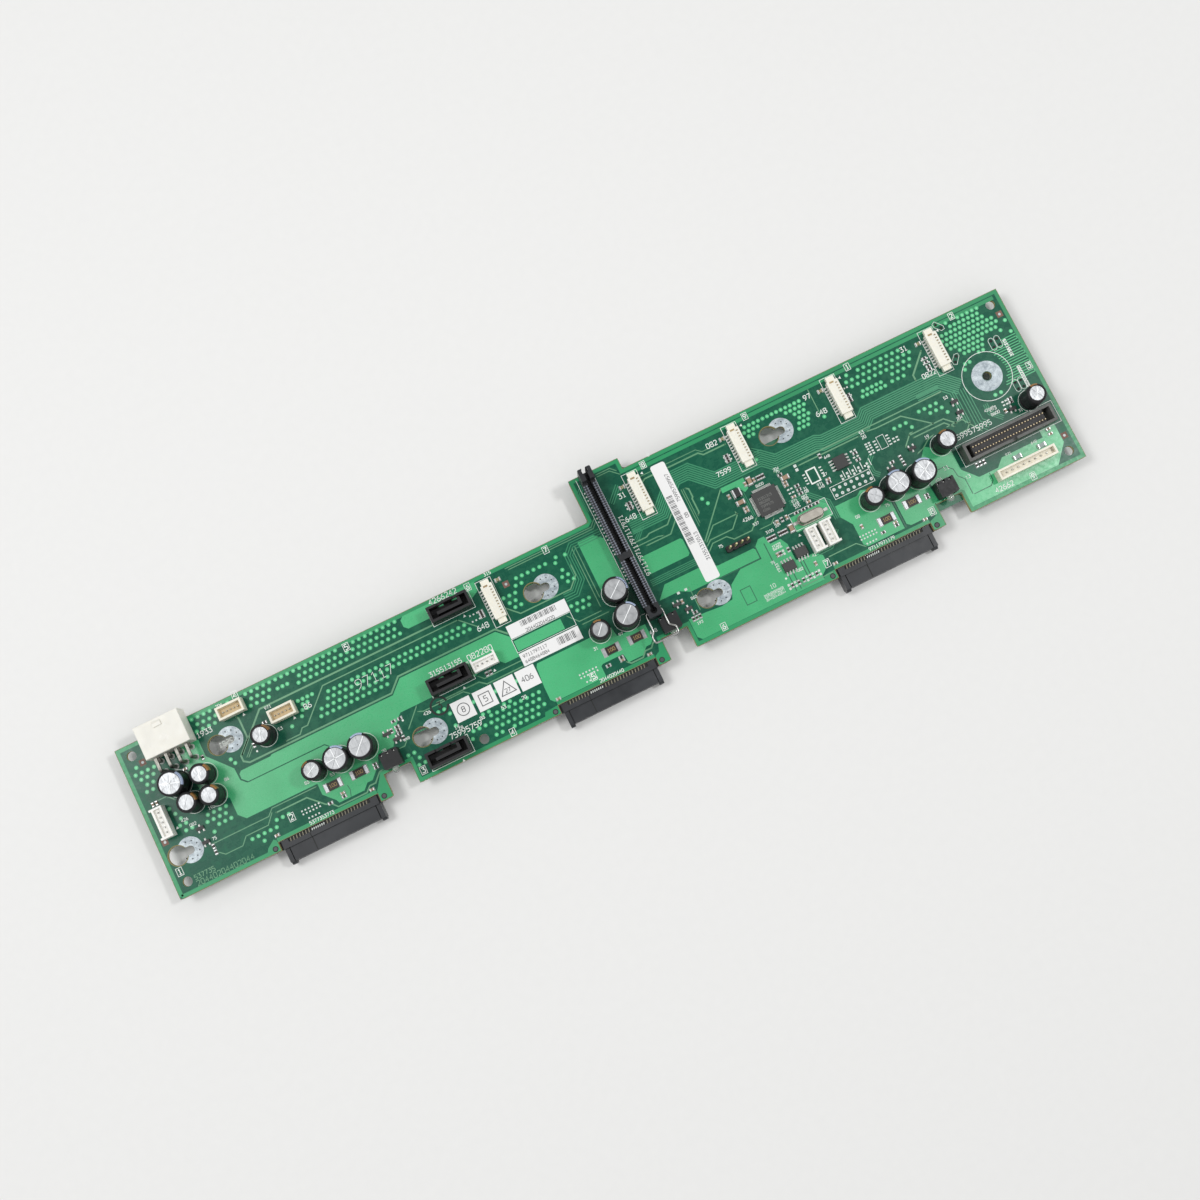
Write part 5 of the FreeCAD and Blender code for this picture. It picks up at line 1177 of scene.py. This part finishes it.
sleeveMarks = {
    "lift": 0.03, "columns": 9, "shoulder": 1.15, "shoulderRows": 6, "shoulderTurn": 72.0, "ringSides": 36,
    "small": {
        "finish": "goldStripe", "drop": 3.2,
        # where each can's stripe starts and how far it runs, in degrees
        "arcs": [(-10, 50), (-5, 46), (12, 44), (5, 52), (92, 46), (62, 48), (80, 52), (72, 50), (62, 46)],
    },
    "large": {
        # the large sleeves' pale stripe over the shoulder is a painted highlight
        "finish": "sleeveHighlight", "drop": 1.2,
        "arcs": [(-30, 70), (30, 60), (55, 60), (20, 50), (-20, 80), (60, 60), (40, 70)],
    },
    "ringWidth": 0.2, "ringGap": 0.32, "score": 0.3, "scoreLift": 0.012, "smallReach": 3.0,
    "scored": [
        # x, y, turn in degrees of one bright line, reach to either side: under the small reach on a small can
        (17.2, 40.4, 64, 3.8), (17.2, 40.4, -18, 3.8), (76.7, 21.6, 4, 3.9), (76.7, 21.6, 92, 3.9),
        (87, 21.8, 46, 3.8), (66.7, 21.7, 30, 2.4), (199, 22.2, 40, 3.8), (199.2, 32.8, 38, 3.9),
        (314.9, 22.2, 22, 3.7), (314.9, 22.2, 118, 3.7), (326, 21.9, 30, 3.7), (326, 21.9, 108, 3.7),
        (187.4, 21.6, 48, 2.3), (28.3, 39, 80, 2.4), (55, 42.2, 70, 2.4), (379.2, 29.7, 60, 2.4),
    ],
}


def sleeveStripe(look, top, drop, radius, start, run):
    # strip of a sleeve, a hair outside it: up the cylinder, then over the shoulder, where a quarter circle's
    # cosine takes the reach in from the radius and its sine takes the height up, just short of the top
    rise = np.linspace(0.0, math.radians(look["shoulderTurn"]), look["shoulderRows"])
    curve = look["shoulder"]
    reach = np.concatenate([[radius], radius - curve + curve * np.cos(rise)]) + look["lift"]
    height = np.concatenate([[top - drop], top - curve + curve * np.sin(rise)])
    height[1:] += look["lift"] * np.sin(rise)
    turn = np.radians(start + np.linspace(0.0, run, look["columns"]))
    grid = np.stack([reach[:, None] * np.cos(turn), reach[:, None] * np.sin(turn),
                     np.repeat(height[:, None], len(turn), axis=1)], axis=-1)
    index = np.arange(grid[..., 0].size).reshape(grid.shape[:2])
    faces = np.stack([index[:-1, :-1], index[:-1, 1:], index[1:, 1:], index[1:, :-1]], axis=-1)
    return grid.reshape(-1, 3), faces.reshape(-1, 4).tolist()


def buildSleeveMarks():
    look = sleeveMarks
    base = Layer("capacitorRings", printed["lift"])
    for word in ("small", "large"):
        own = look[word]
        boxes = islands(word + "_capacitor_sleeves")
        middles = middlesOf(boxes)
        middles = middles[np.argsort(middles[:, 0])]
        radius = float((boxes[:, 1, 0] - boxes[:, 0, 0]).mean() / 2)
        top = (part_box(word + "_capacitor_sleeves")[1][2] - topZ) / mm
        stripes = Layer(word + "SleeveStripes", 0.0)
        for middle, (start, run) in zip(middles, own["arcs"]):
            points, faces = sleeveStripe(look, top, own["drop"], radius, start, run)
            stripes.add(points + (middle[0], middle[1], 0.0), faces)
            base.add(*ring(middle, radius + look["ringGap"], look["ringWidth"], sides=look["ringSides"]))
        stripes.build(own["finish"])
    base.build("whiteInk")
    largeTop = (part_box("large_capacitor_cans")[1][2] - topZ) / mm
    smallTop = (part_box("small_capacitor_cans")[1][2] - topZ) / mm
    scores = Layer("canScores", 0.0)
    for x, y, turn, reach in look["scored"]:
        way = reach * np.array([math.cos(math.radians(turn)), math.sin(math.radians(turn))])
        height = (smallTop if reach < look["smallReach"] else largeTop) + look["scoreLift"]
        points, faces = ribbon([(x, y) - way, (x, y) + way], look["score"])
        scores.add(np.column_stack([points, np.full(len(points), height)]), faces)
    scores.build("scoreShine")
    print("sleeves and can tops marked")


buildSleeveMarks()

# bare lands where the board carries no part

spareLands = {
    "lift": 0.046, "inkLift": 0.054, "boreLift": 0.06,
    "wide": (1.15, 0.95), "narrow": (0.95, 0.62), "stretch": 0.25,
    "across": [
        # (first x, second x, y of each pair, size): lands side by side
        (277.9, 279.3, (39.5, 37.9), "narrow"), (306.9, 308.5, (42.3, 39.6), "narrow"),
        (313.4, 314.8, (42.3, 41.3, 40.2, 39, 37.9), "narrow"), (324.2, 325.7, (39.6, 38.3), "narrow"),
        (369.5, 370.9, (33.7, 32.3), "narrow"), (221.3, 224.5, (22,), "wide"),
    ],
    "upright": [
        # (rear y, front y, x of each pair, size): lands one before the other
        (5.9, 4.4, (261.05, 263.75, 268.75, 271.45, 274.2), "narrow"), (19, 17.7, (265.2,), "narrow"),
        (46.8, 45.1, (284.6,), "wide"), (35.3, 33.9, (299.1, 301.6, 304.1, 306.6, 310.3), "narrow"),
    ],
    "bars": (300.3, 302.8, 305.3, 308.0, 311.7), "barY": (34.0, 37.0), "barWidth": 0.3,
    "dots": [(104.4, 24.5), (261.3, 8.7), (309.2, 34.8), (49.3, 38.4)], "dot": 0.42, "dotSides": 12,
    "pinPairs": [
        # an outline round two bores: its corners, then the two bores
        ([(359.2, 73.8), (360.4, 74.4), (362.9, 71.6), (362.9, 70.2), (361.6, 69.9), (359.4, 72.2)],
         (360.4, 73), (361.8, 71)),
        ([(359.4, 55.6), (360.6, 55), (362.9, 57.8), (362.9, 59), (361.4, 59.2), (359.4, 57)],
         (360.5, 56.2), (361.8, 58.1)),
    ],
    "uprightPairs": [
        # left x, the heights where the outline turns, the heights of its two bores
        (375.9, (53.6, 54.4, 58, 58.7), (57.5, 54.8)), (378.4, (53.6, 54.4, 58, 58.7), (57.5, 54.8)),
        (376.6, (34.6, 35.4, 38.9, 39.7), (38.5, 35.7)), (379, (34.6, 35.4, 38.9, 39.7), (38.5, 35.7)),
    ],
    "pairWidth": 2.2, "pairCut": 0.6, "bore": 0.58, "boreSides": 14, "outline": 0.16,
}


def uprightPair(left, heights, bores):
    # eight-cornered outline, narrower by the cut at both ends, and a bore at each height on its middle line
    cut, width = spareLands["pairCut"], spareLands["pairWidth"]
    xs = left + np.array([cut, width - cut, width, width, width - cut, cut, 0.0, 0.0])
    low, lowTurn, highTurn, high = heights
    ys = [low, low, lowTurn, highTurn, high, high, highTurn, lowTurn]
    return np.column_stack([xs, ys]), *[(left + width / 2, y) for y in bores]


def buildSpareLands():
    look = spareLands
    lands = Layer("spareLands", look["lift"])
    for first, second, ys, size in look["across"]:
        width, height = look[size]
        lands.addMany(boxesAt(*np.meshgrid((first, second), ys), width / 2, height / 2))
    for first, second, xs, size in look["upright"]:
        width, height = look[size]
        across = height + look["stretch"]
        lands.addMany(boxesAt(*np.meshgrid(xs, (first, second)), across / 2, width / 2))
    ink = Layer("spareMarks", look["inkLift"])
    low, high = look["barY"]
    for x in look["bars"]:
        ink.add(*ribbon([(x, low), (x, high)], look["barWidth"]))
    ink.addMany(discs(look["dots"], look["dot"], look["dotSides"]))
    bores = Layer("spareBores", look["boreLift"])
    for outline, *spots in [uprightPair(*pair) for pair in look["uprightPairs"]] + look["pinPairs"]:
        ink.add(*ribbon(outline, look["outline"], closed=True))
        bores.addMany(discs(spots, look["bore"], look["boreSides"]))
    lands.build("landTin")
    ink.build("whiteInk")
    bores.build("darkHole")
    print("spare lands")


buildSpareLands()

# numerals where the board has lines of print

captions = {
    "lift": 0.052, "stroke": 0.29, "strokeShare": 0.18, "largeStroke": 0.2, "denseStroke": 0.36,
    "toneStroke": 0.24,
    "lines": [
        # x, y of the lower left corner, length, height[, turn[, rows one under another, drop of each]]
        (31, 52.9, 7.8, 1.9), (72.5, 44.8, 4.9, 1.9), (56, 4.1, 11, 1.2), (179, 4.1, 11, 1.2),
        (295.5, 4.1, 11.5, 1.2), (145.3, 42.6, 6.8, 2), (121, 34.7, 14, 1.8), (137, 34, 12, 2.1),
        (118, 9.6, 14.4, 2), (132.8, 60.1, 13.6, 2), (122.3, 11.4, 2.8, 1.2), (131.4, 11.4, 2.8, 1.2),
        (140.5, 11.4, 2.8, 1.2), (149.2, 11.4, 2.8, 1.2), (215.2, 33.4, 26.6, 1.7, 90),
        (215.6, 55.8, 6.4, 1.9), (217.2, 65.2, 4.2, 1.9), (257, 68, 5, 1.9), (255.5, 56, 6.6, 1.9),
        (256.5, 35.6, 5.2, 1.3), (261, 12, 4, 1.1, 90), (250.6, 5.9, 9, 0.7, 0, 3, 1), (300, 68.5, 4.6, 1.9),
        (301.5, 60.5, 6.4, 1.9), (343, 69, 4.6, 1.9), (346, 55.6, 6.4, 1.8), (345, 27.8, 18.6, 2),
        (350.5, 2.5, 9.6, 1.9), (262, 21.6, 4.6, 0.9, 0, 2, 1.1), (266.8, 29.6, 2.8, 1, 0, 2, 1.2),
        (289, 35.6, 2.6, 1, 0, 2, 1.2), (283.4, 36.6, 2.4, 1, 0, 2, 1.2), (276.8, 47.4, 2.2, 0.9),
        (361.4, 33, 4.4, 1), (363.2, 32.4, 4.2, 1.3), (363.2, 30.5, 4.2, 1.1),
        (313.2, 46.6, 2.4, 1.2, 0, 2, 1.9), (277, 34, 2.6, 1, 0, 3, 1.2), (281.2, 33.9, 2.8, 1, 0, 2, 1.2),
        (112.6, 22.4, 3.4, 1.2), (90.6, 12.2, 3.2, 1.2), (60.6, 18.6, 2.4, 1.1), (70.6, 17.2, 2.6, 1.1),
        (92.2, 16.6, 2.6, 1.1), (193.4, 17, 2.6, 1.1), (204.6, 12.4, 3.2, 1.2), (182.2, 16.2, 2.6, 1.1),
        (296.6, 17.6, 2.6, 1.1), (309, 16.6, 2.6, 1.1), (331.2, 16.6, 3, 1.1), (335.4, 33.8, 2.6, 1.2),
        (267.2, 45.8, 3.6, 1), (259.4, 32.6, 2.6, 1), (276.2, 48.6, 3.4, 1), (293, 38.2, 2.4, 1),
        (296.4, 44.2, 2.6, 1), (262.4, 27.6, 3.6, 1), (266.8, 9, 3, 1), (258.8, 16, 2.2, 1),
        (274.6, 11.6, 2.4, 1), (222.6, 7.6, 3.2, 1), (224.8, 17.4, 2.6, 1), (349.4, 44.6, 2.6, 1.1),
        (350.2, 35, 2.6, 1), (360.6, 13.8, 3.2, 1), (371.8, 13.6, 3.2, 1), (373.6, 27.2, 1.8, 1),
        (14.6, 23.4, 3.2, 1.1), (20.2, 15, 2.4, 1.1), (12.4, 26.4, 3, 1.1), (23.6, 26.2, 3, 1.1),
        (33.6, 33.4, 2.8, 1.1), (60, 41.8, 2.8, 1.1), (42, 60.2, 3.2, 1.1), (58.6, 51.4, 3.2, 1.1),
        (101.6, 17, 2.6, 1), (156.6, 61, 3.2, 1.2), (234.6, 75.6, 0.9, 1.1), (243.4, 30.6, 2.4, 1.1),
    ],
    "large": [(94, 42.6, 17, 3.8)],
    "dense": [(382.4, 48.6, 8.2, 1.1, 90), (382.4, 33.8, 10.6, 1.1, 90)],
    "copperTone": [(8.2, 4.5, 9, 1.7), (8.2, 1.9, 25, 2)],
    "arrow": [(-0.6, -0.5), (0.6, -0.5), (0, 0.6)],
    "arrows": [(10, 25.4), (50.5, 53.5), (67.5, 43.8), (144.4, 26.4), (273.8, 21.6)],
}


def numberLines(layer, spots, stroke, seed, share=1.0):
    # fills lines with numerals: their count follows from the length, and their values from the line's place
    # in the list, counted on from the seed; the stroke is no wider than the share of the height
    for x, y, length, height, *rest in spots:
        turn, rows, drop = rest + [0, 1, 0.0][len(rest):]
        thickness = min(stroke, height * share)
        places = range(max(1, int(length / (digitStep * height))))
        for row in range(rows):
            digits = "".join(str((seed * 7 + 3 * place * place + 5 * place + 1) % 10) for place in places)
            write(layer, digits, (x, y - row * drop), height, thickness, turn)
            seed += 1


def buildCaptions():
    look = captions
    ink = Layer("printedNumerals", look["lift"])
    numberLines(ink, look["lines"], look["stroke"], 0, look["strokeShare"])
    numberLines(ink, look["large"], look["largeStroke"], 4)
    numberLines(ink, look["dense"], look["denseStroke"], 6)
    for middle in look["arrows"]:
        ink.addShape(np.add(look["arrow"], middle))
    ink.build("whiteInk")
    tone = Layer("etchedNumerals", tracks["lift"])
    numberLines(tone, look["copperTone"], look["toneStroke"], 2)
    tone.build("trackCopper")
    print("numerals")


buildCaptions()

# print on the labels and chips

labelPrint = {
    "stroke": 0.2, "lift": 0.012, "line": 0.35, "bar": 0.55, "barShare": 0.35, "golden": 0.618034,
    # four square labels: a ring, a square and a triangle, each round a numeral, then a numeral alone
    "squareY": 18.1, "ring": (127.15, 2.4), "square": (136.55, 2.2),
    "triangle": [(142.7, 15.9), (148.7, 15.9), (145.7, 21)],
    "numerals": [
        # value, x, y, height, stroke
        (8, 126.55, 17.1, 2, 0.3), (5, 135.95, 17, 2.2, 0.3), (27, 144.6, 16.5, 1.5, 0.25),
        (406, 152.05, 17.2, 2, 0.3),
    ],
    "barcodes": [
        # x0, y0, x1, y1, True where the bars lie one above the other
        (161, 37, 176.5, 39.2, False), (171, 24, 179, 27, False), (233.6, 37, 236.1, 58, True),
    ],
    "rows": [
        (162, 34.4, 13, 1.2), (156.6, 25.6, 11, 1.2), (156.6, 23.4, 11, 1.2), (238.4, 28.6, 13.4, 1.3, 90),
        (238.5, 47.2, 3, 1.3, 90), (238.4, 54.2, 12.6, 1.3, 90),
    ],
    # ring stamped on the board: middle, radius, width, first and last angle; then its numeral as above
    "stampLift": 0.054, "stamp": ((119.4, 23.35), 3.35, 0.8, 12, 348),
    "stampNumeral": (3, 118.6, 22.15, 2.6, 0.4),
    "shuntNumeral": (100, -1.5, -0.6, 1.25, 0.2),
    # lines on the controller chip, from its middle
    "chipRows": [(-3.6, 1.4, 6.6, 0.9), (-3.6, -0.2, 5, 0.9), (-3.6, -1.8, 6, 0.9), (-3.6, -3.4, 3.6, 0.9)],
    "chipStroke": 0.1,
}


def barcode(x0, y0, x1, y1, upright):
    # bar edges step by a width that follows the golden ratio, so no two neighbours are alike
    along = y1 - y0 if upright else x1 - x0
    count = int(along / labelPrint["bar"])
    shares = labelPrint["barShare"] + (np.arange(2 * count) * labelPrint["golden"] % 1.0)
    edges = np.concatenate([[0.0], np.cumsum(shares)]) * along / shares.sum()
    starts, ends, whole = edges[0:-1:2], edges[1::2], np.ones(count)
    if upright:
        return rectangles(np.column_stack([whole * x0, y0 + starts, whole * x1, y0 + ends]))
    return rectangles(np.column_stack([x0 + starts, whole * y0, x0 + ends, whole * y1]))


def buildLabelPrint():
    look = labelPrint
    top = (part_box("paper_labels")[1][2] - topZ) / mm
    ink = Layer("labelPrint", top + look["lift"])
    y, line = look["squareY"], look["line"]
    x, radius = look["ring"]
    ink.add(*ring((x, y), radius, line))
    x, half = look["square"]
    ink.add(*ribbon(boxCorners(x - half, y - half, x + half, y + half), line, closed=True))
    ink.add(*ribbon(look["triangle"], line, closed=True))
    for value, x, y, height, stroke in look["numerals"]:
        write(ink, value, (x, y), height, stroke)
    for place in look["barcodes"]:
        ink.addMany(barcode(*place))
    numberLines(ink, look["rows"], look["stroke"], 3)
    ink.build("labelInk")
    stamp = Layer("stampedRing", look["stampLift"])
    stamp.add(*ring(*look["stamp"]))
    value, x, y, height, stroke = look["stampNumeral"]
    write(stamp, value, (x, y), height, stroke)
    stamp.build("blackStamp")
    # the shunts and the controller chip: faint numerals on their tops
    gold = Layer("shuntNumerals", (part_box("shunt_resistors")[1][2] - topZ) / mm + look["lift"])
    value, offsetX, offsetY, height, stroke = look["shuntNumeral"]
    for x, y in middlesOf(islands("shunt_resistors")):
        write(gold, value, (x + offsetX, y + offsetY), height, stroke)
    gold.build("goldInk")
    grey = Layer("chipNumerals", (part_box("controller_chip")[1][2] - topZ) / mm + look["lift"])
    x, y = middlesOf(islands("controller_chip"))[0]
    rows = [(x + offsetX, y + offsetY, *size) for offsetX, offsetY, *size in look["chipRows"]]
    numberLines(grey, rows, look["chipStroke"], 6)
    grey.build("greyInk")
    print("label and chip print")


buildLabelPrint()

# combs, ribs and windows of the connectors

combLook = {
    # heights of the step that holds the comb and of the front face, then x and y from each bay's middle
    "step": -0.5, "front": -1.4, "lifts": (0.02, 0.03, 0.04),
    "slot": (-16.9, 1.75, 16.9, 3.15),
    "teeth": {"first": -16.3, "pitch": 1.27, "count": 26, "half": 0.17, "lean": 0.25, "clear": 0.6},
    "bright": {"first": -7.4, "pitch": 0.82, "count": 7, "low": 1.95, "high": 2.75, "lean": 0.3,
               "width": 0.34},
    "seam": {"x": -8.55, "half": 0.17, "low": -5.45, "high": 0.0, "slotHigh": 1.72},
    "peg": {"x": 22.8, "y": 1.6, "hole": 1.1, "top": 0.78, "lift": 0.05, "topLift": 0.06, "sides": 20},
}


def buildCombs():
    look = combLook
    teeth, bright, seam, peg = look["teeth"], look["bright"], look["seam"], look["peg"]
    shade, tooth, tips = (Layer(name, look["step"] + lift) for name, lift in
                          zip(("combShade", "combTeeth", "combTips"), look["lifts"]))
    holes = Layer("pegHoles", peg["lift"])
    pegs = Layer("pegTops", peg["topLift"])
    seams = Layer("frontSeams", look["front"] + look["lifts"][0])
    x0, low, x1, high = look["slot"]
    for bay in bayCentres:
        shade.addMany(rectangles([(bay + x0, low, bay + x1, high)]))
        xs = bay + teeth["first"] + teeth["pitch"] * np.arange(teeth["count"])
        first = bay + bright["first"]
        xs = xs[(xs < first - teeth["clear"]) | (xs > first + bright["pitch"] * bright["count"])]
        # each tooth is a leaning sliver: its far end sits a little to the right of its near end
        slivers = boxesAt(xs, (low + high) / 2, teeth["half"], (high - low) / 2)
        slivers[:, 2:, 0] += teeth["lean"]
        tooth.addMany(slivers)
        for x in first + bright["pitch"] * np.arange(bright["count"]):
            tips.add(*ribbon([(x, bright["low"]), (x + bright["lean"], bright["high"])], bright["width"]))
        x, half = bay + seam["x"], seam["half"]
        seams.addMany(rectangles([(x - half, seam["low"], x + half, seam["high"])]))
        shade.addMany(rectangles([(x - half, seam["high"], x + half, seam["slotHigh"])]))
        spots = [(bay - peg["x"], peg["y"]), (bay + peg["x"], peg["y"])]
        holes.addMany(discs(spots, peg["hole"], peg["sides"]))
        pegs.addMany(discs(spots, peg["top"], peg["sides"]))
    shade.build("darkHole")
    seams.build("darkHole")
    tooth.build("combTooth")
    tips.build("landTin")
    holes.build("darkHole")
    pegs.build("plasticGrey")
    print("combs, seams and pegs of the drive connectors")


ribLook = {
    # the card socket's two rails: their ribbed strips from the socket's middle, and the ribs along them
    "middle": 208.85, "strips": (-2.55, -1.5, 1.5, 2.55), "half": 0.32, "pitch": 1.0, "ribHalf": 0.25,
    "ranges": [(22.4, 42.0), (45.2, 74.6)], "height": 7.02,
}


def buildRibs():
    look = ribLook
    ribs = Layer("railRibs", look["height"])
    for low, high in look["ranges"]:
        ys = np.arange(low, high, look["pitch"])
        for strip in look["strips"]:
            ribs.addMany(boxesAt(look["middle"] + strip, ys, look["half"], look["ribHalf"]))
    ribs.build("ribGrey")
    print("ribs on the card socket")


fanLook = {
    # a row of small windows along the right side of each header, and one patch near its rear end, both tan;
    # the patch is painted shade
    "lift": 0.012, "inset": 1.15, "half": 0.22, "pitch": 1.25, "count": 10,
    "patch": (-0.4, 6.4), "patchHalf": (0.9, 0.35),
}


def buildFanWindows():
    look = fanLook
    tops, shapes = [], []
    for number in range(1, 6):
        low, high = (np.array(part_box("fan_header_%d" % number)) - boardCorner) / mm
        x, y = (low + high)[:2] / 2
        ys = y + look["pitch"] * (np.arange(look["count"]) - (look["count"] - 1) / 2)
        shapes.append(boxesAt(high[0] - look["inset"], ys, look["half"], look["half"]))
        shapes.append(boxesAt(x + look["patch"][0], y + look["patch"][1], *look["patchHalf"]))
        tops.append(high[2])
    sheet("fanWindows", tops[0] + look["lift"], np.concatenate(shapes), "slotTan")
    print("fan header windows")


panelShade = {"box": (348.4, 18.6, 380.0, 23.6), "height": 4.412, "lift": 0.012,
              # half the width of the pale square on each pin's tip, a painted highlight
              "tips": {"panel_header_pins": 0.2, "pin_strip_pins": 0.26}}
creamShade = {"centres": [(47.4, 57.0), (64.7, 47.3)], "half": (4.3, 1.7), "height": 3.212}


def buildPanelShade():
    sheet("panelShade", panelShade["height"], rectangles([panelShade["box"]]), "deepShade")
    tips = Layer("pinHighlights", panelShade["lift"])
    for nodeName, half in panelShade["tips"].items():
        boxes = islands(nodeName)
        tips.addMany(atTops(boxesAt(*middlesOf(boxes).T, half, half), boxes))
    tips.build("pinHighlight")
    floors = boxesAt(*np.transpose(creamShade["centres"]), *creamShade["half"])
    sheet("creamFloors", creamShade["height"], floors, "creamShade")
    print("shade in the open headers, and pin tips")


boardRim = {
    "width": 0.15, "inset": 0.03, "lift": 0.03,
    "rear": [(0, 62.45), (202, 62.45), (202, 80.4), (223.6, 80.4), (223.6, 75.75), (388.8, 75.75),
             (388.8, 0)],
    # notch: its middle from the bay's middle, width and depth; recess: width and depth
    "notch": (31.7, 11.1, 8.9), "recess": (0.0, 41.7, 3.4),
    "boxed": (287.4, 37.5, 291.2, 43.1), "boxedWidth": 0.55, "boxedLift": 0.056,
}
headerHoles = {
    "rows": [(31.7, 294.0, 7, 2.52), (29.2, 294.0, 7, 2.52)], "land": 0.66, "bore": 0.24, "landSides": 16,
    "boreSides": 10, "lift": 0.045, "boreLift": 0.053,
}


def buildRim():
    # tan line where the mask stops just inside the board's edge, with its recesses and notches
    look = boardRim
    line = [(0.0, 0.0)]
    for bay in bayCentres:
        for offset, width, depth in (look["recess"], look["notch"]):
            left, right = bay + offset - width / 2, bay + offset + width / 2
            line += [(left, 0.0), (left, depth), (right, depth), (right, 0.0)]
    line = np.array(line + look["rear"][::-1])
    inner = shifted(np.vstack([line[-1:], line, line[:1]]), look["width"] / 2 + look["inset"])[1:-1]
    rim = Layer("boardRim", look["lift"])
    rim.add(*ribbon(inner, look["width"], closed=True))
    rim.build("bareLaminate")
    box = Layer("boxedPlace", look["boxedLift"])
    box.add(*ribbon(boxCorners(*look["boxed"]), look["boxedWidth"], closed=True))
    box.build("whiteInk")
    holes = headerHoles
    centres = rowsOfDots(holes["rows"])
    sheet("headerLands", holes["lift"], discs(centres, holes["land"], holes["landSides"]), "landTin")
    sheet("headerBores", holes["boreLift"], discs(centres, holes["bore"], holes["boreSides"]), "wornTin")
    print("board rim and header lands")


buildCombs()
buildRibs()
buildFanWindows()
buildPanelShade()
buildRim()

# underside

underside = {
    "lift": 0.02, "trackLift": 0.028, "dotLift": 0.034, "inkLift": 0.04, "dotSides": 10, "stroke": 0.24,
    "areas": [(30, 27, 150, 42), (160, 8, 200, 40), (214, 40, 340, 60), (296, 6, 340, 26)],
    "lines": [
        (0.5, [(12, 58), (150, 58), (156, 52), (198, 52)]),
        (0.5, [(12, 56.6), (149.4, 56.6), (155.4, 50.6), (198, 50.6)]),
        (0.5, [(20, 12), (60, 12), (66, 18), (140, 18), (146, 12), (190, 12)]),
        (0.4, [(220, 66), (262, 66), (268, 72), (350, 72)]),
        (0.4, [(220, 64.8), (262.6, 64.8), (268.6, 70.8), (350, 70.8)]),
        (0.4, [(220, 20), (250, 20), (258, 28), (300, 28), (306, 34), (372, 34)]),
        (0.4, [(240, 16), (290, 16), (296, 10), (372, 10)]),
    ],
    "numbers": [(120.0, 48.0, 12.0, 2.0), (250.0, 34.0, 10.0, 1.8), (44.0, 46.0, 9.0, 1.8)],
}


def mirrored(layer, spot, stroke, seed):
    # numerals that read from below run towards -X
    x, y, length, height = spot
    for place in range(max(1, int(length / (digitStep * height)))):
        for line in strokes[str((seed * 7 + 3 * place + 1) % 10)]:
            flat = (np.array(line, float) + (place * digitStep, 0)) * (-height, height)
            layer.add(*ribbon(flat + (x, y), stroke))


def buildUnderside():
    look = underside
    sheet("underPour", look["lift"], rectangles(look["areas"]), "boardShade", True)
    bands("underTracks", look["trackLift"], look["lines"], "bundleCopper", True)
    dots = discs(rowsOfDots(viaDots["rows"]), viaDots["radius"], look["dotSides"])
    sheet("underDots", look["dotLift"], dots, "viaCopper", True)
    ink = Layer("underNumerals", look["inkLift"], True)
    for seed, spot in enumerate(look["numbers"], 2):
        mirrored(ink, spot, look["stroke"], seed)
    ink.build("whiteInk")
    print("underside drawn")


buildUnderside()

# the end
